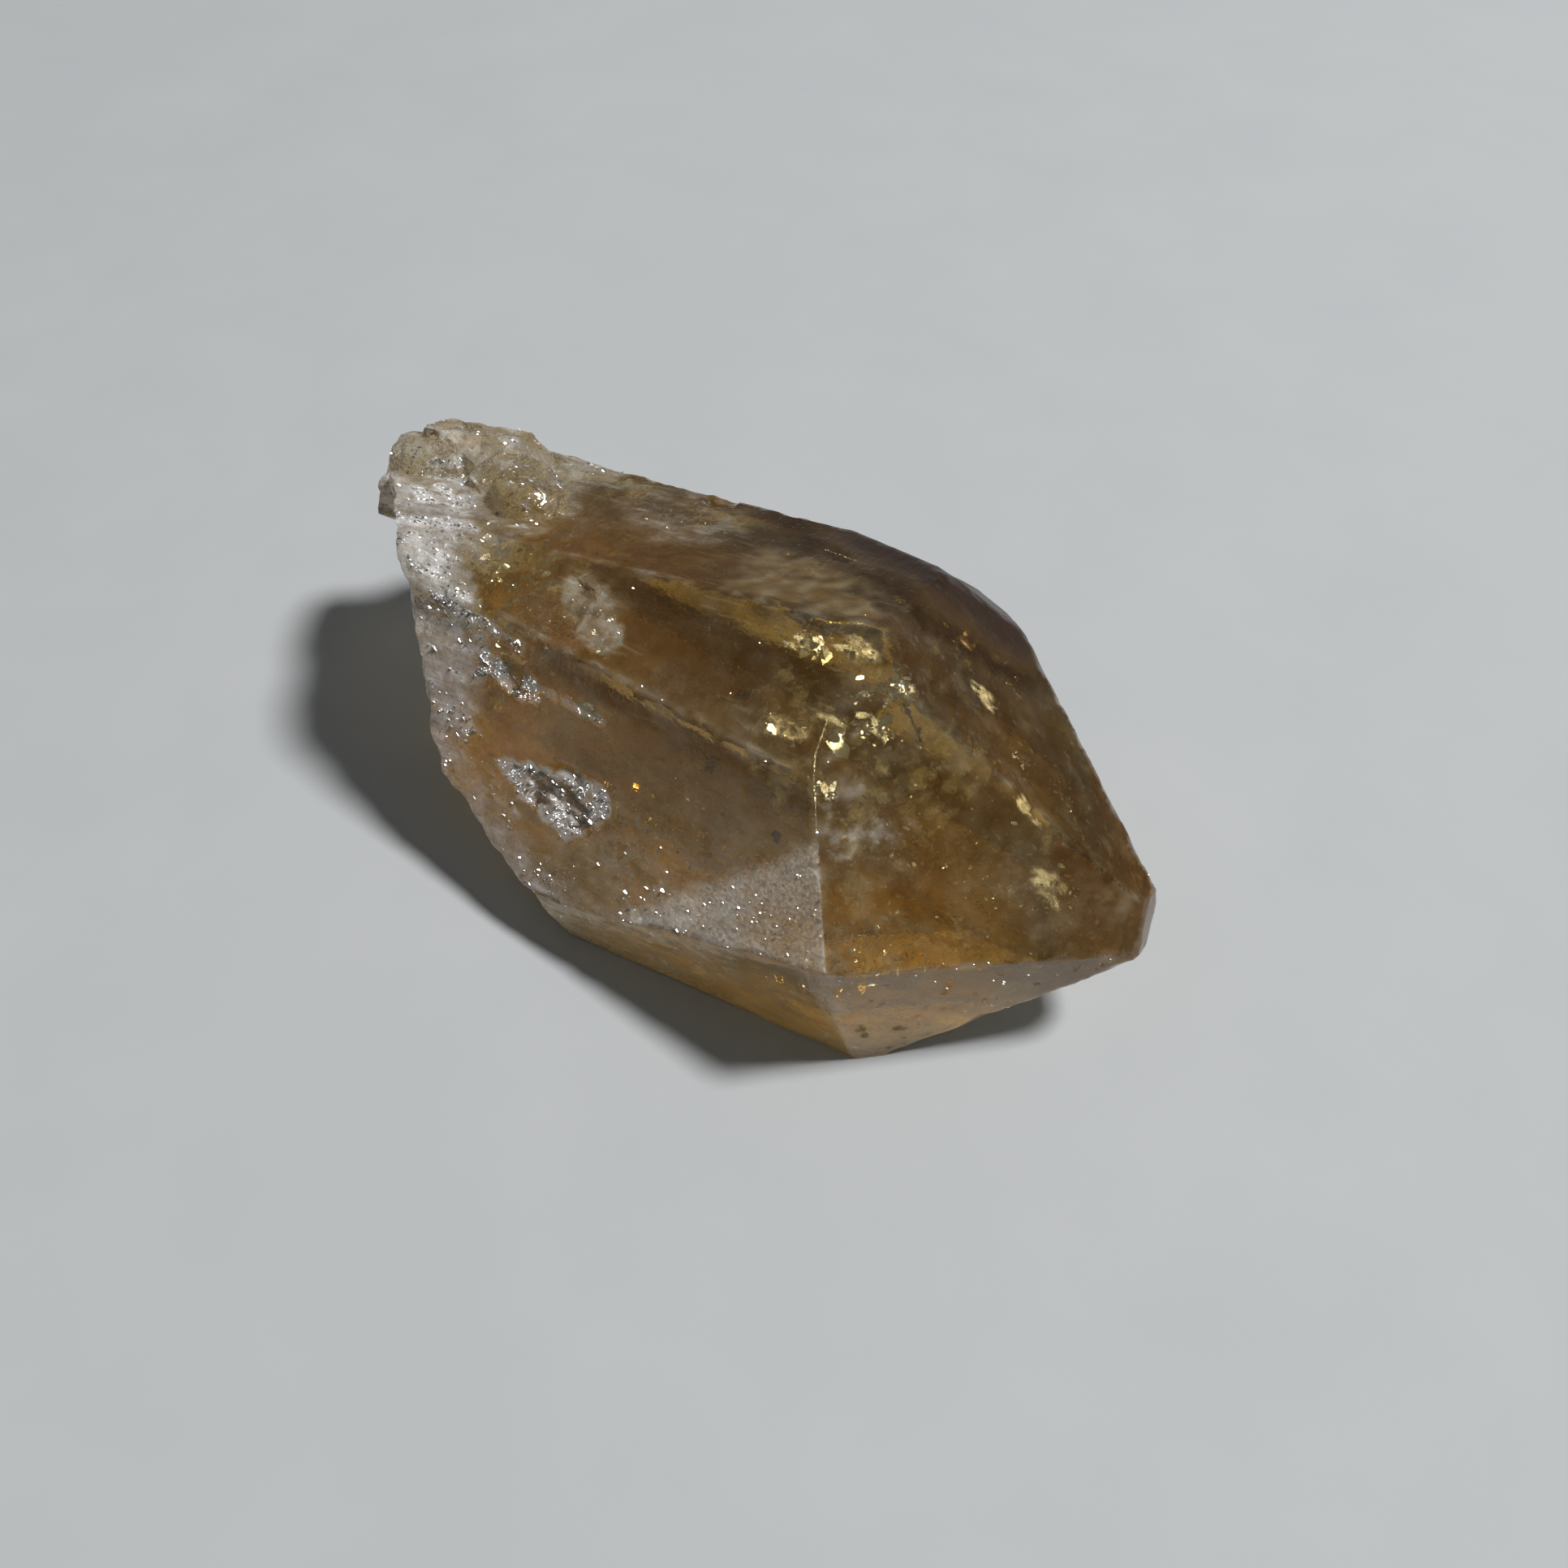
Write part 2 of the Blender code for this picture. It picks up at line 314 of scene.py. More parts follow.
# ---------------------------------------------------------------------------
# Dual contouring: a closed quad mesh of the field that keeps crisp edges
# ---------------------------------------------------------------------------
def contour(low, high, pitch, shape, rough_shape):
    low = np.array(low, float)
    count = np.ceil((np.array(high) - low) / pitch).astype(int) + 1
    nx, ny, nz = count
    axes = [low[a] + pitch * np.arange(count[a]) for a in range(3)]
    values = np.empty((nx, ny, nz))
    yy, zz = np.meshgrid(axes[1], axes[2], indexing="ij")
    for i in range(nx):
        points = np.column_stack((np.full(yy.size, axes[0][i]), yy.ravel(), zz.ravel()))
        values[i] = rough_shape(to_crystal(points)).reshape(ny, nz)
    near = np.argwhere(np.abs(values) < 2.6)
    log("grid", values.shape, "near the surface", len(near))
    flat_values = np.empty(len(near))
    for start in range(0, len(near), 200000):
        part = near[start : start + 200000]
        flat_values[start : start + 200000] = shape(to_crystal(low + pitch * part))
    values[tuple(near.T)] = flat_values
    values[values == 0] = 1e-9
    inside = values < 0
    inside[0], inside[-1], inside[:, 0], inside[:, -1], inside[:, :, 0], inside[:, :, -1] = (False,) * 6

    cell_of_edge, starts, ends, starts_v, ends_v, flips, axis_of = [], [], [], [], [], [], []
    step = np.eye(3, dtype=int)
    cells_around = (
        ((0, 0, 0), (0, -1, 0), (0, -1, -1), (0, 0, -1)),
        ((0, 0, 0), (0, 0, -1), (-1, 0, -1), (-1, 0, 0)),
        ((0, 0, 0), (-1, 0, 0), (-1, -1, 0), (0, -1, 0)),
    )
    for axis in range(3):
        a = [slice(None)] * 3
        b = [slice(None)] * 3
        a[axis], b[axis] = slice(None, -1), slice(1, None)
        crossing = np.argwhere(inside[tuple(a)] != inside[tuple(b)])
        other = crossing + step[axis]
        starts.append(low + pitch * crossing)
        ends.append(low + pitch * other)
        starts_v.append(values[tuple(crossing.T)])
        ends_v.append(values[tuple(other.T)])
        flips.append(~inside[tuple(crossing.T)])
        cells = np.stack([crossing + np.array(o) for o in cells_around[axis]], axis=1)
        cell_of_edge.append(cells)
    p0, p1 = np.concatenate(starts), np.concatenate(ends)
    v0, v1 = np.concatenate(starts_v), np.concatenate(ends_v)
    flip = np.concatenate(flips)
    cells = np.concatenate(cell_of_edge)
    log("edges that cross", len(p0))

    # where each edge crosses, by bisection with a secant step
    lo_t, hi_t = np.zeros(len(p0)), np.ones(len(p0))
    t = np.clip(v0 / (v0 - v1), 0.02, 0.98)
    for _ in range(3):
        v = shape(to_crystal(p0 + (p1 - p0) * t[:, None]))
        same = (v < 0) == (v0 < 0)
        lo_t, hi_t = np.where(same, t, lo_t), np.where(same, hi_t, t)
        v0n, v1n = np.where(same, v, v0), np.where(same, v1, v)
        v0, v1 = v0n, v1n
        t = lo_t + (hi_t - lo_t) * np.clip(v0 / (v0 - v1), 0.03, 0.97)
    crossing = p0 + (p1 - p0) * t[:, None]

    # normals there
    eps = 0.02
    gradient = np.empty_like(crossing)
    for a in range(3):
        shift = np.zeros(3)
        shift[a] = eps
        gradient[:, a] = shape(to_crystal(crossing + shift)) - shape(to_crystal(crossing - shift))
    gradient /= np.linalg.norm(gradient, axis=1)[:, None] + 1e-12

    # one point per cell, as near as it can be to all its tangent planes
    size = (nx - 1, ny - 1, nz - 1)
    key = (cells[..., 0] * size[1] + cells[..., 1]) * size[2] + cells[..., 2]
    used, index = np.unique(key.ravel(), return_inverse=True)
    index = index.reshape(key.shape)
    n_cells = len(used)
    who = index.ravel()
    of_edge = np.repeat(np.arange(len(crossing)), 4)
    hits = np.bincount(who, minlength=n_cells).astype(float)
    mass = np.stack([np.bincount(who, crossing[of_edge, a], n_cells) for a in range(3)], axis=1) / hits[:, None]
    g = gradient[of_edge]
    away = np.einsum("ij,ij->i", g, crossing[of_edge] - mass[who])
    ata = np.zeros((n_cells, 3, 3))
    atb = np.zeros((n_cells, 3))
    for a in range(3):
        atb[:, a] = np.bincount(who, g[:, a] * away, n_cells)
        for b in range(a, 3):
            ata[:, a, b] = ata[:, b, a] = np.bincount(who, g[:, a] * g[:, b], n_cells)
    ata += np.eye(3) * 0.035
    points = mass + np.linalg.solve(ata, atb[..., None])[..., 0]
    ck = used
    cz = ck % size[2]
    cy = (ck // size[2]) % size[1]
    cx = ck // (size[2] * size[1])
    corner = low + pitch * np.column_stack((cx, cy, cz))
    points = np.clip(points, corner - 0.02 * pitch, corner + 1.02 * pitch)
    quads = index
    quads[flip] = quads[flip][:, ::-1]
    log("cells", n_cells, "quads", len(quads))
    return points, quads


def largest_island(points, quads):
    """Drops crumbs: keeps the biggest connected piece."""
    label = np.arange(len(points))
    while True:
        low = label[quads].min(axis=1)
        new = label.copy()
        for c in range(4):
            np.minimum.at(new, quads[:, c], low)
        new = new[new]
        if (new == label).all():
            break
        label = new
    names, counts = np.unique(label[quads[:, 0]], return_counts=True)
    keep = label[quads[:, 0]] == names[counts.argmax()]
    quads = quads[keep]
    used, index = np.unique(quads.ravel(), return_inverse=True)
    return points[used], index.reshape(quads.shape), len(names)


def mesh_object(name, points, faces, smooth_angle=None):
    mesh = bpy.data.meshes.new(name)
    mesh.from_pydata((points * MM).tolist(), [], faces.tolist() if hasattr(faces, "tolist") else faces)
    mesh.update()
    if smooth_angle is not None:
        mesh.polygons.foreach_set("use_smooth", np.ones(len(mesh.polygons), bool))
        mesh.set_sharp_from_angle(angle=math.radians(smooth_angle))
    obj = bpy.data.objects.new(name, mesh)
    bpy.context.scene.collection.objects.link(obj)
    return obj


low_mm = np.array(cad_box[0]) / MM - 0.9
high_mm = np.array(cad_box[1]) / MM + 0.9
points, quads = contour(low_mm, high_mm, PITCH, field, coarse_field)
points, quads, islands = largest_island(points, quads)
points[:, 2] = np.where(np.abs(points[:, 2]) < 0.02, 0.0, points[:, 2])
log("islands", islands, "vertices", len(points), "quads", len(quads))
crystal = mesh_object("citrine_body", points, quads, smooth_angle=24)


# ---------------------------------------------------------------------------
# Where things are on the crystal, in the crystal's own axes: measured outlines
# of patches, in mm on a face, u along the crystal and v across it
# ---------------------------------------------------------------------------
PATCHES = {
    "frosted": ("valley_upper", ((-10.9, -2.1), (-8.2, -1.4), (-4.7, -0.7), (-2.4, -0.5), (-1.1, -1.0), (-0.4, -1.7), (-0.6, -2.3), (-2.9, -4.8), (-4.1, -5.2), (-5.0, -5.0), (-7.8, -4.2), (-9.3, -3.4))),
    "flake": ("valley_upper", ((-12.3, 4.2), (-11.1, 4.6), (-9.6, 4.5), (-8.5, 4.1), (-6.4, 3.8), (-8.7, 3.6), (-10.1, 3.1), (-11.5, 3.3))),
    "streak": ("valley_upper", ((-5.6, 4.1), (-3.9, 4.3), (-1.9, 3.7), (-1.9, 3.4), (-4.1, 3.2))),
    "crescent": ("prism_front", ((-9.5, 3.5), (-8.4, 3.9), (-6.6, 3.6), (-5.2, 2.5), (-4.1, 1.4), (-3.5, 0.4), (-3.9, -1.0), (-5.6, -0.9), (-6.8, -0.1), (-7.7, 0.5), (-9.6, 2.6))),
    "window": ("prism_front", ((-11.8, 0.6), (-10.8, 1.7), (-9.2, 1.8), (-7.7, 0.5), (-6.3, -0.6), (-4.8, -0.6), (-6.6, -1.4), (-9.2, -1.5), (-10.8, -0.9))),
    "stain": ("prism_upper", ((0.1, 1.3), (4.0, 4.6), (7.0, 4.3), (9.8, 1.4), (12.9, -2.3), (13.3, -4.5), (10.9, -4.8), (8.5, -4.5), (6.3, -4.6), (2.3, -3.6))),
    "pale_lobe": ("prism_upper", ((-14.8, 7.9), (-8.5, 9.0), (-4.4, 6.7), (-2.5, 4.7), (-2.6, 1.5), (-4.5, -0.5), (-8.2, 0.9), (-12.1, 3.8))),
    "amber_low": ("valley_upper", ((-4.9, 1.8), (1.3, 4.9), (7.4, 6.3), (10.0, 5.2), (8.1, 2.6), (4.2, -0.1), (-0.3, -1.0), (-3.9, -0.4))),
    "reddish": ("rhomb_front", ((8.6, -0.7), (10.2, 0.0), (11.5, -0.6), (11.6, -2.1), (10.0, -2.9), (8.8, -2.0))),
    "amber_front": ("rhomb_front", ((7.3, 2.7), (10.5, 4.2), (13.3, 3.4), (13.7, 1.5), (11.4, 0.4), (8.6, 0.8))),
    "clear_mid": ("prism_front", ((-6.5, 4.6), (-0.5, 5.6), (6.0, 5.3), (11.0, 5.0), (11.5, 2.6), (8.0, 0.6), (2.0, -0.4), (-3.4, -0.8), (-3.6, 1.8))),
    "edge_streak": ("rhomb_front", ((12.9, 3.5), (13.7, 3.5), (15.5, 3.0), (15.3, 2.5), (14.0, 2.9))),
}


def patch_distance(p, name):
    """Signed distance to a patch's outline, in mm, more than 0 inside."""
    face, outline = PATCHES[name]
    a, i, d = PLANE[face][:3]
    n = normal_of(a, i)
    u = np.array((1.0, 0, 0)) - n * n[0]
    u /= np.linalg.norm(u)
    v = np.cross(n, u)
    q = np.column_stack((p @ u, p @ v))
    corners = np.array(outline)
    best = np.full(len(p), 1e9)
    inside = np.zeros(len(p), bool)
    for a0, b0 in zip(corners, np.roll(corners, -1, axis=0)):
        e = b0 - a0
        w = q - a0
        t = np.clip((w @ e) / (e @ e), 0, 1)
        best = np.minimum(best, np.linalg.norm(w - t[:, None] * e, axis=1))
        crosses = (a0[1] > q[:, 1]) != (b0[1] > q[:, 1])
        with np.errstate(divide="ignore", invalid="ignore"):
            at = a0[0] + (q[:, 1] - a0[1]) / (b0[1] - a0[1]) * e[0]
        inside ^= crosses & (q[:, 0] < at)
    signed = np.where(inside, best, -best)
    away = np.abs(p @ n - d)
    return np.minimum(signed, 1.6 - away)


def add_values(mesh, name, values, domain="POINT"):
    made = mesh.attributes.new(name, "FLOAT", domain)
    made.data.foreach_set("value", np.ascontiguousarray(values, np.float32))


own = to_crystal(points)
x = own[:, 0]
slow = noise(own, 5.5, 61)
mid = noise(own, 2.2, 62)
small = noise(own, 0.95, 63)
cloud = 0.5 + 0.62 * noise(own, 4.2, 64) + 0.42 * noise(own, 1.9, 65) + 0.34 * noise(own, 0.85, 66)
add_values(crystal.data, "cloud", np.clip(cloud, 0, 1))
valley_up, valley_low = plane_value(own, "valley_upper"), plane_value(own, "valley_lower")
front_side = smooth_step(plane_value(own, "prism_front") - valley_up, -0.6, 0.6)
low_side = smooth_step(plane_value(own, "prism_lower"), -6.5, -0.8)
reach = -x + 3.4 * slow + 1.8 * mid + 0.8 * small
milk = smooth_step(reach, 12.0 + 2.0 * front_side, 17.5 + 4.0 * front_side)
milk = np.maximum(milk, 0.40 * low_side * smooth_step(-x, -16.0, -2.0))
lump = np.zeros(len(own))
for centre, half, _ in LUMPS:
    lump = np.maximum(lump, smooth_step(-ellipsoid(own, centre, half), -1.6, -0.2))
milk = milk * (1 - lump) + 0.32 * lump * np.clip(0.85 + 0.6 * mid, 0.3, 1.2)
window = smooth_step(patch_distance(own, "window") + 0.3 * small, -0.5, 0.5)
milk = milk * (1 - 0.9 * window)
broken_off = np.max([own @ normal_of(a, i) - d for a, i, d, _, _ in FRACTURES.values()], axis=0)
milk = np.maximum(milk, 0.85 * (1 - lump) * (1 - window) * smooth_step(broken_off + 1.1 * mid + 0.5 * small, -3.4, 0.2))
lobe = patch_distance(own, "pale_lobe") + 1.6 * mid + 0.8 * small
milk = np.maximum(milk, 0.22 * smooth_step(lobe, -1.2, 1.2))
milk = np.clip(milk * (0.72 + 0.5 * cloud), 0, 1)
add_values(crystal.data, "milk", milk)
add_values(crystal.data, "glassy", np.maximum(lump, window))
frosted, crescent = patch_distance(own, "frosted") + 0.55 * small, patch_distance(own, "crescent") + 0.55 * small
add_values(crystal.data, "frost", np.maximum(smooth_step(frosted, -0.25, 0.25) * np.clip(0.85 + 0.5 * noise(own * np.array((0.5, 1, 1)), 0.8, 84), 0.4, 1), 0.35 * smooth_step(crescent, -0.25, 0.25)))
# where broken quartz faces the light squarely: a painted highlight, colour and haze made silver-white, with rougher
# facets and sparks there too
PAINTED_GLINT_LINES = (
    (((-13.1, 12.0, 0.2), (-9.4, 12.1, 0.8)), 0.85, 1.0),
    (((-9.1, 12.3, 0.5), (-7.3, 12.4, 0.6)), 0.34, 0.7),
    (((-6.3, 12.4, 0.7), (-3.1, 12.5, 1.1)), 0.34, 0.8),
    (((-27.0, 7.4, -11.6), (-26.1, 7.1, -11.9), (-25.5, 6.4, -12.3)), 0.36, 1.0),
    (((-27.2, 7.2, -10.5), (-26.1, 7.0, -10.8), (-25.0, 6.7, -11.0), (-22.3, 8.3, -11.2)), 0.30, 0.9),
    (((-26.1, 9.3, -9.4), (-24.6, 10.0, -9.0), (-23.5, 10.4, -8.7)), 0.55, 0.9),
    (((-25.2, 8.1, -10.2), (-23.3, 9.2, -9.6), (-21.8, 9.7, -9.2)), 0.50, 0.9),
    (((-23.7, 12.7, -6.7), (-21.8, 12.6, -7.2), (-20.2, 12.1, -7.6), (-18.6, 12.0, -8.1)), 0.42, 0.8),
    (((-21.7, 13.3, -5.7), (-19.7, 13.3, -5.2), (-18.0, 13.2, -4.5), (-16.3, 13.4, -3.8)), 1.10, 0.5),
    (((-18.2, 13.2, -2.9), (-16.5, 13.1, -2.5), (-14.4, 13.0, -2.2), (-12.5, 12.9, -2.0), (-10.5, 12.9, -1.6)), 0.40, 0.9),
    (((-14.9, 10.5, 4.1), (-13.3, 10.2, 5.0)), 0.30, 0.6),
)
painted_glint = np.zeros(len(own))
for points_on, radius, share in PAINTED_GLINT_LINES:
    for a, b in zip(points_on[:-1], points_on[1:]):
        a, b = np.array(a), np.array(b)
        s = np.clip((own - a) @ (b - a) / ((b - a) @ (b - a)), 0, 1)
        gap = np.linalg.norm(own - a - s[:, None] * (b - a), axis=1)
        painted_glint = np.maximum(painted_glint, share * smooth_step(radius * (1 + 0.7 * small) - gap, -0.15, 0.15))
# random spots of painted highlight over the milky and lumpy quartz
glints = smooth_step(noise(own * np.array((0.35, 1, 1)), 0.9, 77) + 0.5 * noise(own, 0.5, 78), 0.42, 0.60)
painted_glint = np.maximum(painted_glint, 0.85 * glints * smooth_step(np.maximum(milk, 0.8 * lump), 0.10, 0.45))
painted_glint = np.maximum(painted_glint, 0.9 * smooth_step(patch_distance(own, "frosted") + 0.5 * small, -0.2, 0.3) * np.clip(0.9 + 0.6 * noise(own, 0.6, 79), 0.4, 1))
painted_glint = np.maximum(painted_glint, 0.45 * smooth_step(patch_distance(own, "crescent") + 0.5 * small, -0.2, 0.3) * np.clip(0.4 + 1.8 * noise(own, 0.7, 80), 0, 1))
outward = np.empty(len(own) * 3)
crystal.data.vertices.foreach_get("normal", outward)
middle = TO_CAMERA @ TURN.T + TO_KEY
facing = np.clip(outward.reshape(-1, 3) @ (middle / np.linalg.norm(middle)), 0.0, 1.0)
bottom = np.maximum(smooth_step(plane_value(own, "rhomb_lower"), -0.5, -0.1), smooth_step(plane_value(own, "prism_lower"), -0.5, -0.1))
# spots of painted highlight on the lower faces
painted_glint_spots = smooth_step(noise(own * np.array((0.5, 1, 1)), 0.7, 81) + 0.4 * noise(own, 0.45, 82), 0.50, 0.62)
painted_glint = np.maximum(painted_glint, 0.6 * painted_glint_spots * bottom)
add_values(crystal.data, "painted_glint", painted_glint)
add_values(crystal.data, "lean", painted_glint * smooth_step(facing, 0.05, 0.30) / np.maximum(facing, 0.38))
stain = patch_distance(own, "stain") + 2.0 * mid + 1.3 * small
add_values(crystal.data, "stain", smooth_step(stain, -0.8, 1.8) * np.clip(0.75 + 0.9 * small, 0.2, 1))
crust = smooth_step(noise(own, 1.5, 67) + 0.6 * noise(own, 0.7, 68), -0.25, 0.35)
add_values(crystal.data, "crust", crust)
amber = np.maximum(patch_distance(own, "amber_low"), patch_distance(own, "amber_front"))
amber = np.maximum(amber, patch_distance(own, "reddish")) + 1.8 * mid + 1.0 * small
elsewhere = smooth_step(noise(own, 6.0, 69) + 0.4 * noise(own, 2.4, 70), 0.22, 0.50)
add_values(crystal.data, "amber", np.max((smooth_step(amber, -1.0, 1.4), 0.5 * elsewhere, 0.8 * smooth_step(x + 0.5 * mid, 25.0, 29.5)), axis=0))
# painted shade: a near-black band along the crest, laid on as a dark coat
crest = np.maximum(plane_value(own, "shoulder_bevel"), plane_value(own, "crest_bevel"))
band = smooth_step(crest + 0.35 * mid + 0.25 * small, -2.3, -0.75) * smooth_step(x + 1.2 * slow, -1.5, 5.0) * smooth_step(-x, -21.0, -16.5)
band *= smooth_step(-own[:, 2], 9.5, 12.5)
# painted shade: a dark brown coat on a wider strip along the crest
painted_shade_coat = smooth_step(crest + 0.8 * mid + 0.4 * small, -4.2, -1.7) * smooth_step(x + 1.2 * slow, -8.0, 2.0) * smooth_step(-x, -23.0, -17.0)
add_values(crystal.data, "painted_shade_coat", painted_shade_coat * smooth_step(-own[:, 2], 8.0, 11.5))
behind = smooth_step(plane_value(own, "prism_back"), -0.6, 0.0)
# the painted shade goes on across part of the back face
band = np.maximum(band, 0.9 * behind * smooth_step(-own[:, 2] + 0.6 * mid + 0.4 * small, 6.3, 8.0) * smooth_step(x, -6.0, -1.0) * smooth_step(-x, -20.0, -16.0))
# painted shade: dark brown on the back face, strongest towards the crest
painted_back_shade = behind * smooth_step(-own[:, 2] + 1.0 * mid + 0.5 * small, 3.0, 6.5)
add_values(crystal.data, "painted_back_shade", painted_back_shade)
add_values(crystal.data, "crest", band)

side_values = own @ FACE_N.T - FACE_D
valley = np.minimum(valley_up, valley_low)
every = np.sort(np.column_stack((side_values, valley)), axis=1)


def face_share(names, soft=0.08):
    """1 on these faces, 0 on the others, with the step on the edge itself."""
    those = [FACE_NAMES.index(n) for n in names if n in FACE_NAMES]
    rest = [k for k in range(len(FACE_NAMES)) if k not in those]
    ours = side_values[:, those].max(axis=1) if those else np.full(len(own), -99.0)
    others = side_values[:, rest].max(axis=1)
    if "valley" in names:
        ours = np.maximum(ours, valley)
    else:
        others = np.maximum(others, valley)
    return np.clip(ours - others, -2, 2)


frosty = np.clip(np.minimum(valley_up - valley_low, valley - side_values.max(axis=1)), -2, 2)
add_values(crystal.data, "frosty", np.maximum(frosty, face_share(("rhomb_back_lower",))))
add_values(crystal.data, "prism", face_share(("valley", "prism_front", "prism_upper", "prism_lower", "prism_back_upper", "prism_back", "crest_bevel")))
add_values(crystal.data, "pale", face_share(("rhomb_lower", "prism_lower")))
add_values(crystal.data, "front", face_share(("rhomb_front", "tip_bevel")))
hidden = face_share(("rhomb_back_upper", "rhomb_back", "rhomb_back_lower", "prism_back_upper", "prism_back"))
sunny = face_share(("rhomb_upper", "prism_upper", "shoulder_bevel", "crest_bevel"))
clear = smooth_step(patch_distance(own, "clear_mid") + 1.2 * mid, -1.0, 1.2)
# haze is cut on the faces turned to the light: painted shade that keeps them darker
haze = (0.028 + 0.060 * np.clip(cloud, 0, 1)) * (1 - 0.62 * smooth_step(sunny, -0.5, 0.5)) * (1 - 0.45 * clear) + 0.42 * milk
tufts = smooth_step(noise(own * np.array((0.6, 1, 1)), 1.3, 74) + 0.5 * noise(own, 0.6, 75), 0.10, 0.50)
cotton = np.maximum(smooth_step(-np.linalg.norm(own - np.array((15.2, 11.0, 1.6)), axis=1), -4.6, -1.2), 0.7 * smooth_step(-x, -2.0, 9.0) * front_side * smooth_step(milk, 0.0, 0.3))
haze += 0.035 * smooth_step(-(valley - valley_up) ** 2, -9, 0) * smooth_step(valley, -0.6, -0.1) * (0.6 + 0.8 * mid)
haze += 0.075 * np.exp(-(np.linalg.norm((own - np.array((5.6, 12.3, 3.1))) * np.array((0.75, 1, 1)), axis=1) / 5.0) ** 2) * (0.8 + 0.6 * mid)
haze += (0.035 + 0.17 * cotton) * tufts * (1 - 0.8 * clear)
add_values(crystal.data, "haze", haze)
add_values(crystal.data, "cotton", np.clip(cotton * (0.35 + 0.9 * tufts), 0, 1))
rest = 0.6 - 4 * points[:, 2]
add_values(crystal.data, "etched", np.maximum(hidden, rest))
add_values(crystal.data, "under", np.maximum(face_share(("prism_back", "rhomb_back")), rest))
edge_gap = every[:, -1] - every[:, -2]
line = np.exp(-((edge_gap / 0.16) ** 2)) * np.clip(0.10 + 1.5 * noise(own, 1.4, 73), 0, 1)
lip = np.exp(-(((plane_value(own, "prism_front") - valley_up) / 0.13) ** 2)) * smooth_step(x, -16.0, -11.0) * smooth_step(-x, -12.5, -10.5)
lip *= smooth_step(valley_up, -1.2, -0.3)
add_values(crystal.data, "line", np.clip(line + 0.5 * lip * np.clip(0.5 + 1.4 * small, 0, 1), 0, 1))


# ---------------------------------------------------------------------------
# Materials
# ---------------------------------------------------------------------------
class Tree:
    """Short names for shader nodes."""

    def __init__(self, name):
        self.material = bpy.data.materials.new(name)
        self.material.use_nodes = True
        self.nodes = self.material.node_tree.nodes
        self.links = self.material.node_tree.links
        for node in list(self.nodes):
            self.nodes.remove(node)
        self.out = self.nodes.new("ShaderNodeOutputMaterial")
        self.shader = self.nodes.new("ShaderNodeBsdfPrincipled")
        self.links.new(self.shader.outputs[0], self.out.inputs["Surface"])
        self.at = self.nodes.new("ShaderNodeTexCoord").outputs["Object"]

    def plug(self, value, socket):
        if isinstance(value, (int, float)):
            socket.default_value = value
        elif isinstance(value, (tuple, list)):
            socket.default_value = (*value, 1.0)[:4] if len(socket.default_value) == 4 else value
        else:
            self.links.new(value, socket)

    def math(self, kind, a, b=0.0, c=0.0, clamp=False):
        node = self.nodes.new("ShaderNodeMath")
        node.operation = kind
        node.use_clamp = clamp
        for value, socket in zip((a, b, c), node.inputs):
            self.plug(value, socket)
        return node.outputs[0]

    def ramp(self, value, low, high, to_low=0.0, to_high=1.0):
        node = self.nodes.new("ShaderNodeMapRange")
        node.interpolation_type = "SMOOTHSTEP"
        self.plug(value, node.inputs["Value"])
        for name, number in (("From Min", low), ("From Max", high), ("To Min", to_low), ("To Max", to_high)):
            node.inputs[name].default_value = number
        return node.outputs[0]

    def mix(self, factor, a, b):
        node = self.nodes.new("ShaderNodeMix")
        node.data_type = "RGBA"
        self.plug(factor, node.inputs["Factor"])
        self.plug(a, node.inputs[6])
        self.plug(b, node.inputs[7])
        return node.outputs[2]

    def value(self, name):
        node = self.nodes.new("ShaderNodeAttribute")
        node.attribute_name = name
        return node.outputs["Fac"]

    def noise(self, size_mm, detail=3.0, rough=0.55, at=None, distort=0.0):
        node = self.nodes.new("ShaderNodeTexNoise")
        node.inputs["Scale"].default_value = 1000.0 / size_mm
        node.inputs["Detail"].default_value = detail
        node.inputs["Roughness"].default_value = rough
        node.inputs["Distortion"].default_value = distort
        self.links.new(at or self.at, node.inputs["Vector"])
        return node.outputs["Fac"]

    def cells(self, size_mm, at=None, feature="F1", output="Distance"):
        node = self.nodes.new("ShaderNodeTexVoronoi")
        node.feature = feature
        node.inputs["Scale"].default_value = 1000.0 / size_mm
        self.links.new(at or self.at, node.inputs["Vector"])
        return node.outputs[output]

    def vector(self, kind, a, b=None, output="Vector"):
        node = self.nodes.new("ShaderNodeVectorMath")
        node.operation = kind
        for value, socket in zip((a, b), node.inputs):
            if value is not None:
                self.plug(value, socket)
        return node.outputs[output]

    def facets(self, size_mm, spread, lean, at=None, warp=None):
        """Height in mm of flat facets that lean every way by up to the spread, like a
        broken surface, and on the whole lean towards the light and the viewer of the
        photograph by the lean. The cells are blocks on the crystal's own axes."""
        at = at or self.at
        if warp is not None:
            push = self.vector("MULTIPLY", (size_mm * MM, -1.3 * size_mm * MM, 0.8 * size_mm * MM), warp)
            at = self.vector("ADD", at, push)
        size = (size_mm * MM,) * 3
        cell = self.vector("SNAP", at, size)
        inside = self.vector("SUBTRACT", self.vector("SUBTRACT", at, cell), tuple(0.5 * v for v in size))
        chance = self.nodes.new("ShaderNodeTexWhiteNoise")
        self.links.new(self.vector("MULTIPLY", cell, (3917.0, 2741.0, 4409.0)), chance.inputs["Vector"])
        tilt = self.vector("SUBTRACT", chance.outputs["Color"], (0.5, 0.5, 0.5))
        half = TO_CAMERA @ TURN.T + TO_KEY
        half = tuple(1000.0 * half / np.linalg.norm(half))
        any_way = self.math("MULTIPLY", self.vector("DOT_PRODUCT", inside, tilt, "Value"), 2000.0)
        one_way = self.vector("DOT_PRODUCT", inside, half, "Value")
        return self.math("SUBTRACT", self.math("MULTIPLY", any_way, spread), self.math("MULTIPLY", one_way, lean))

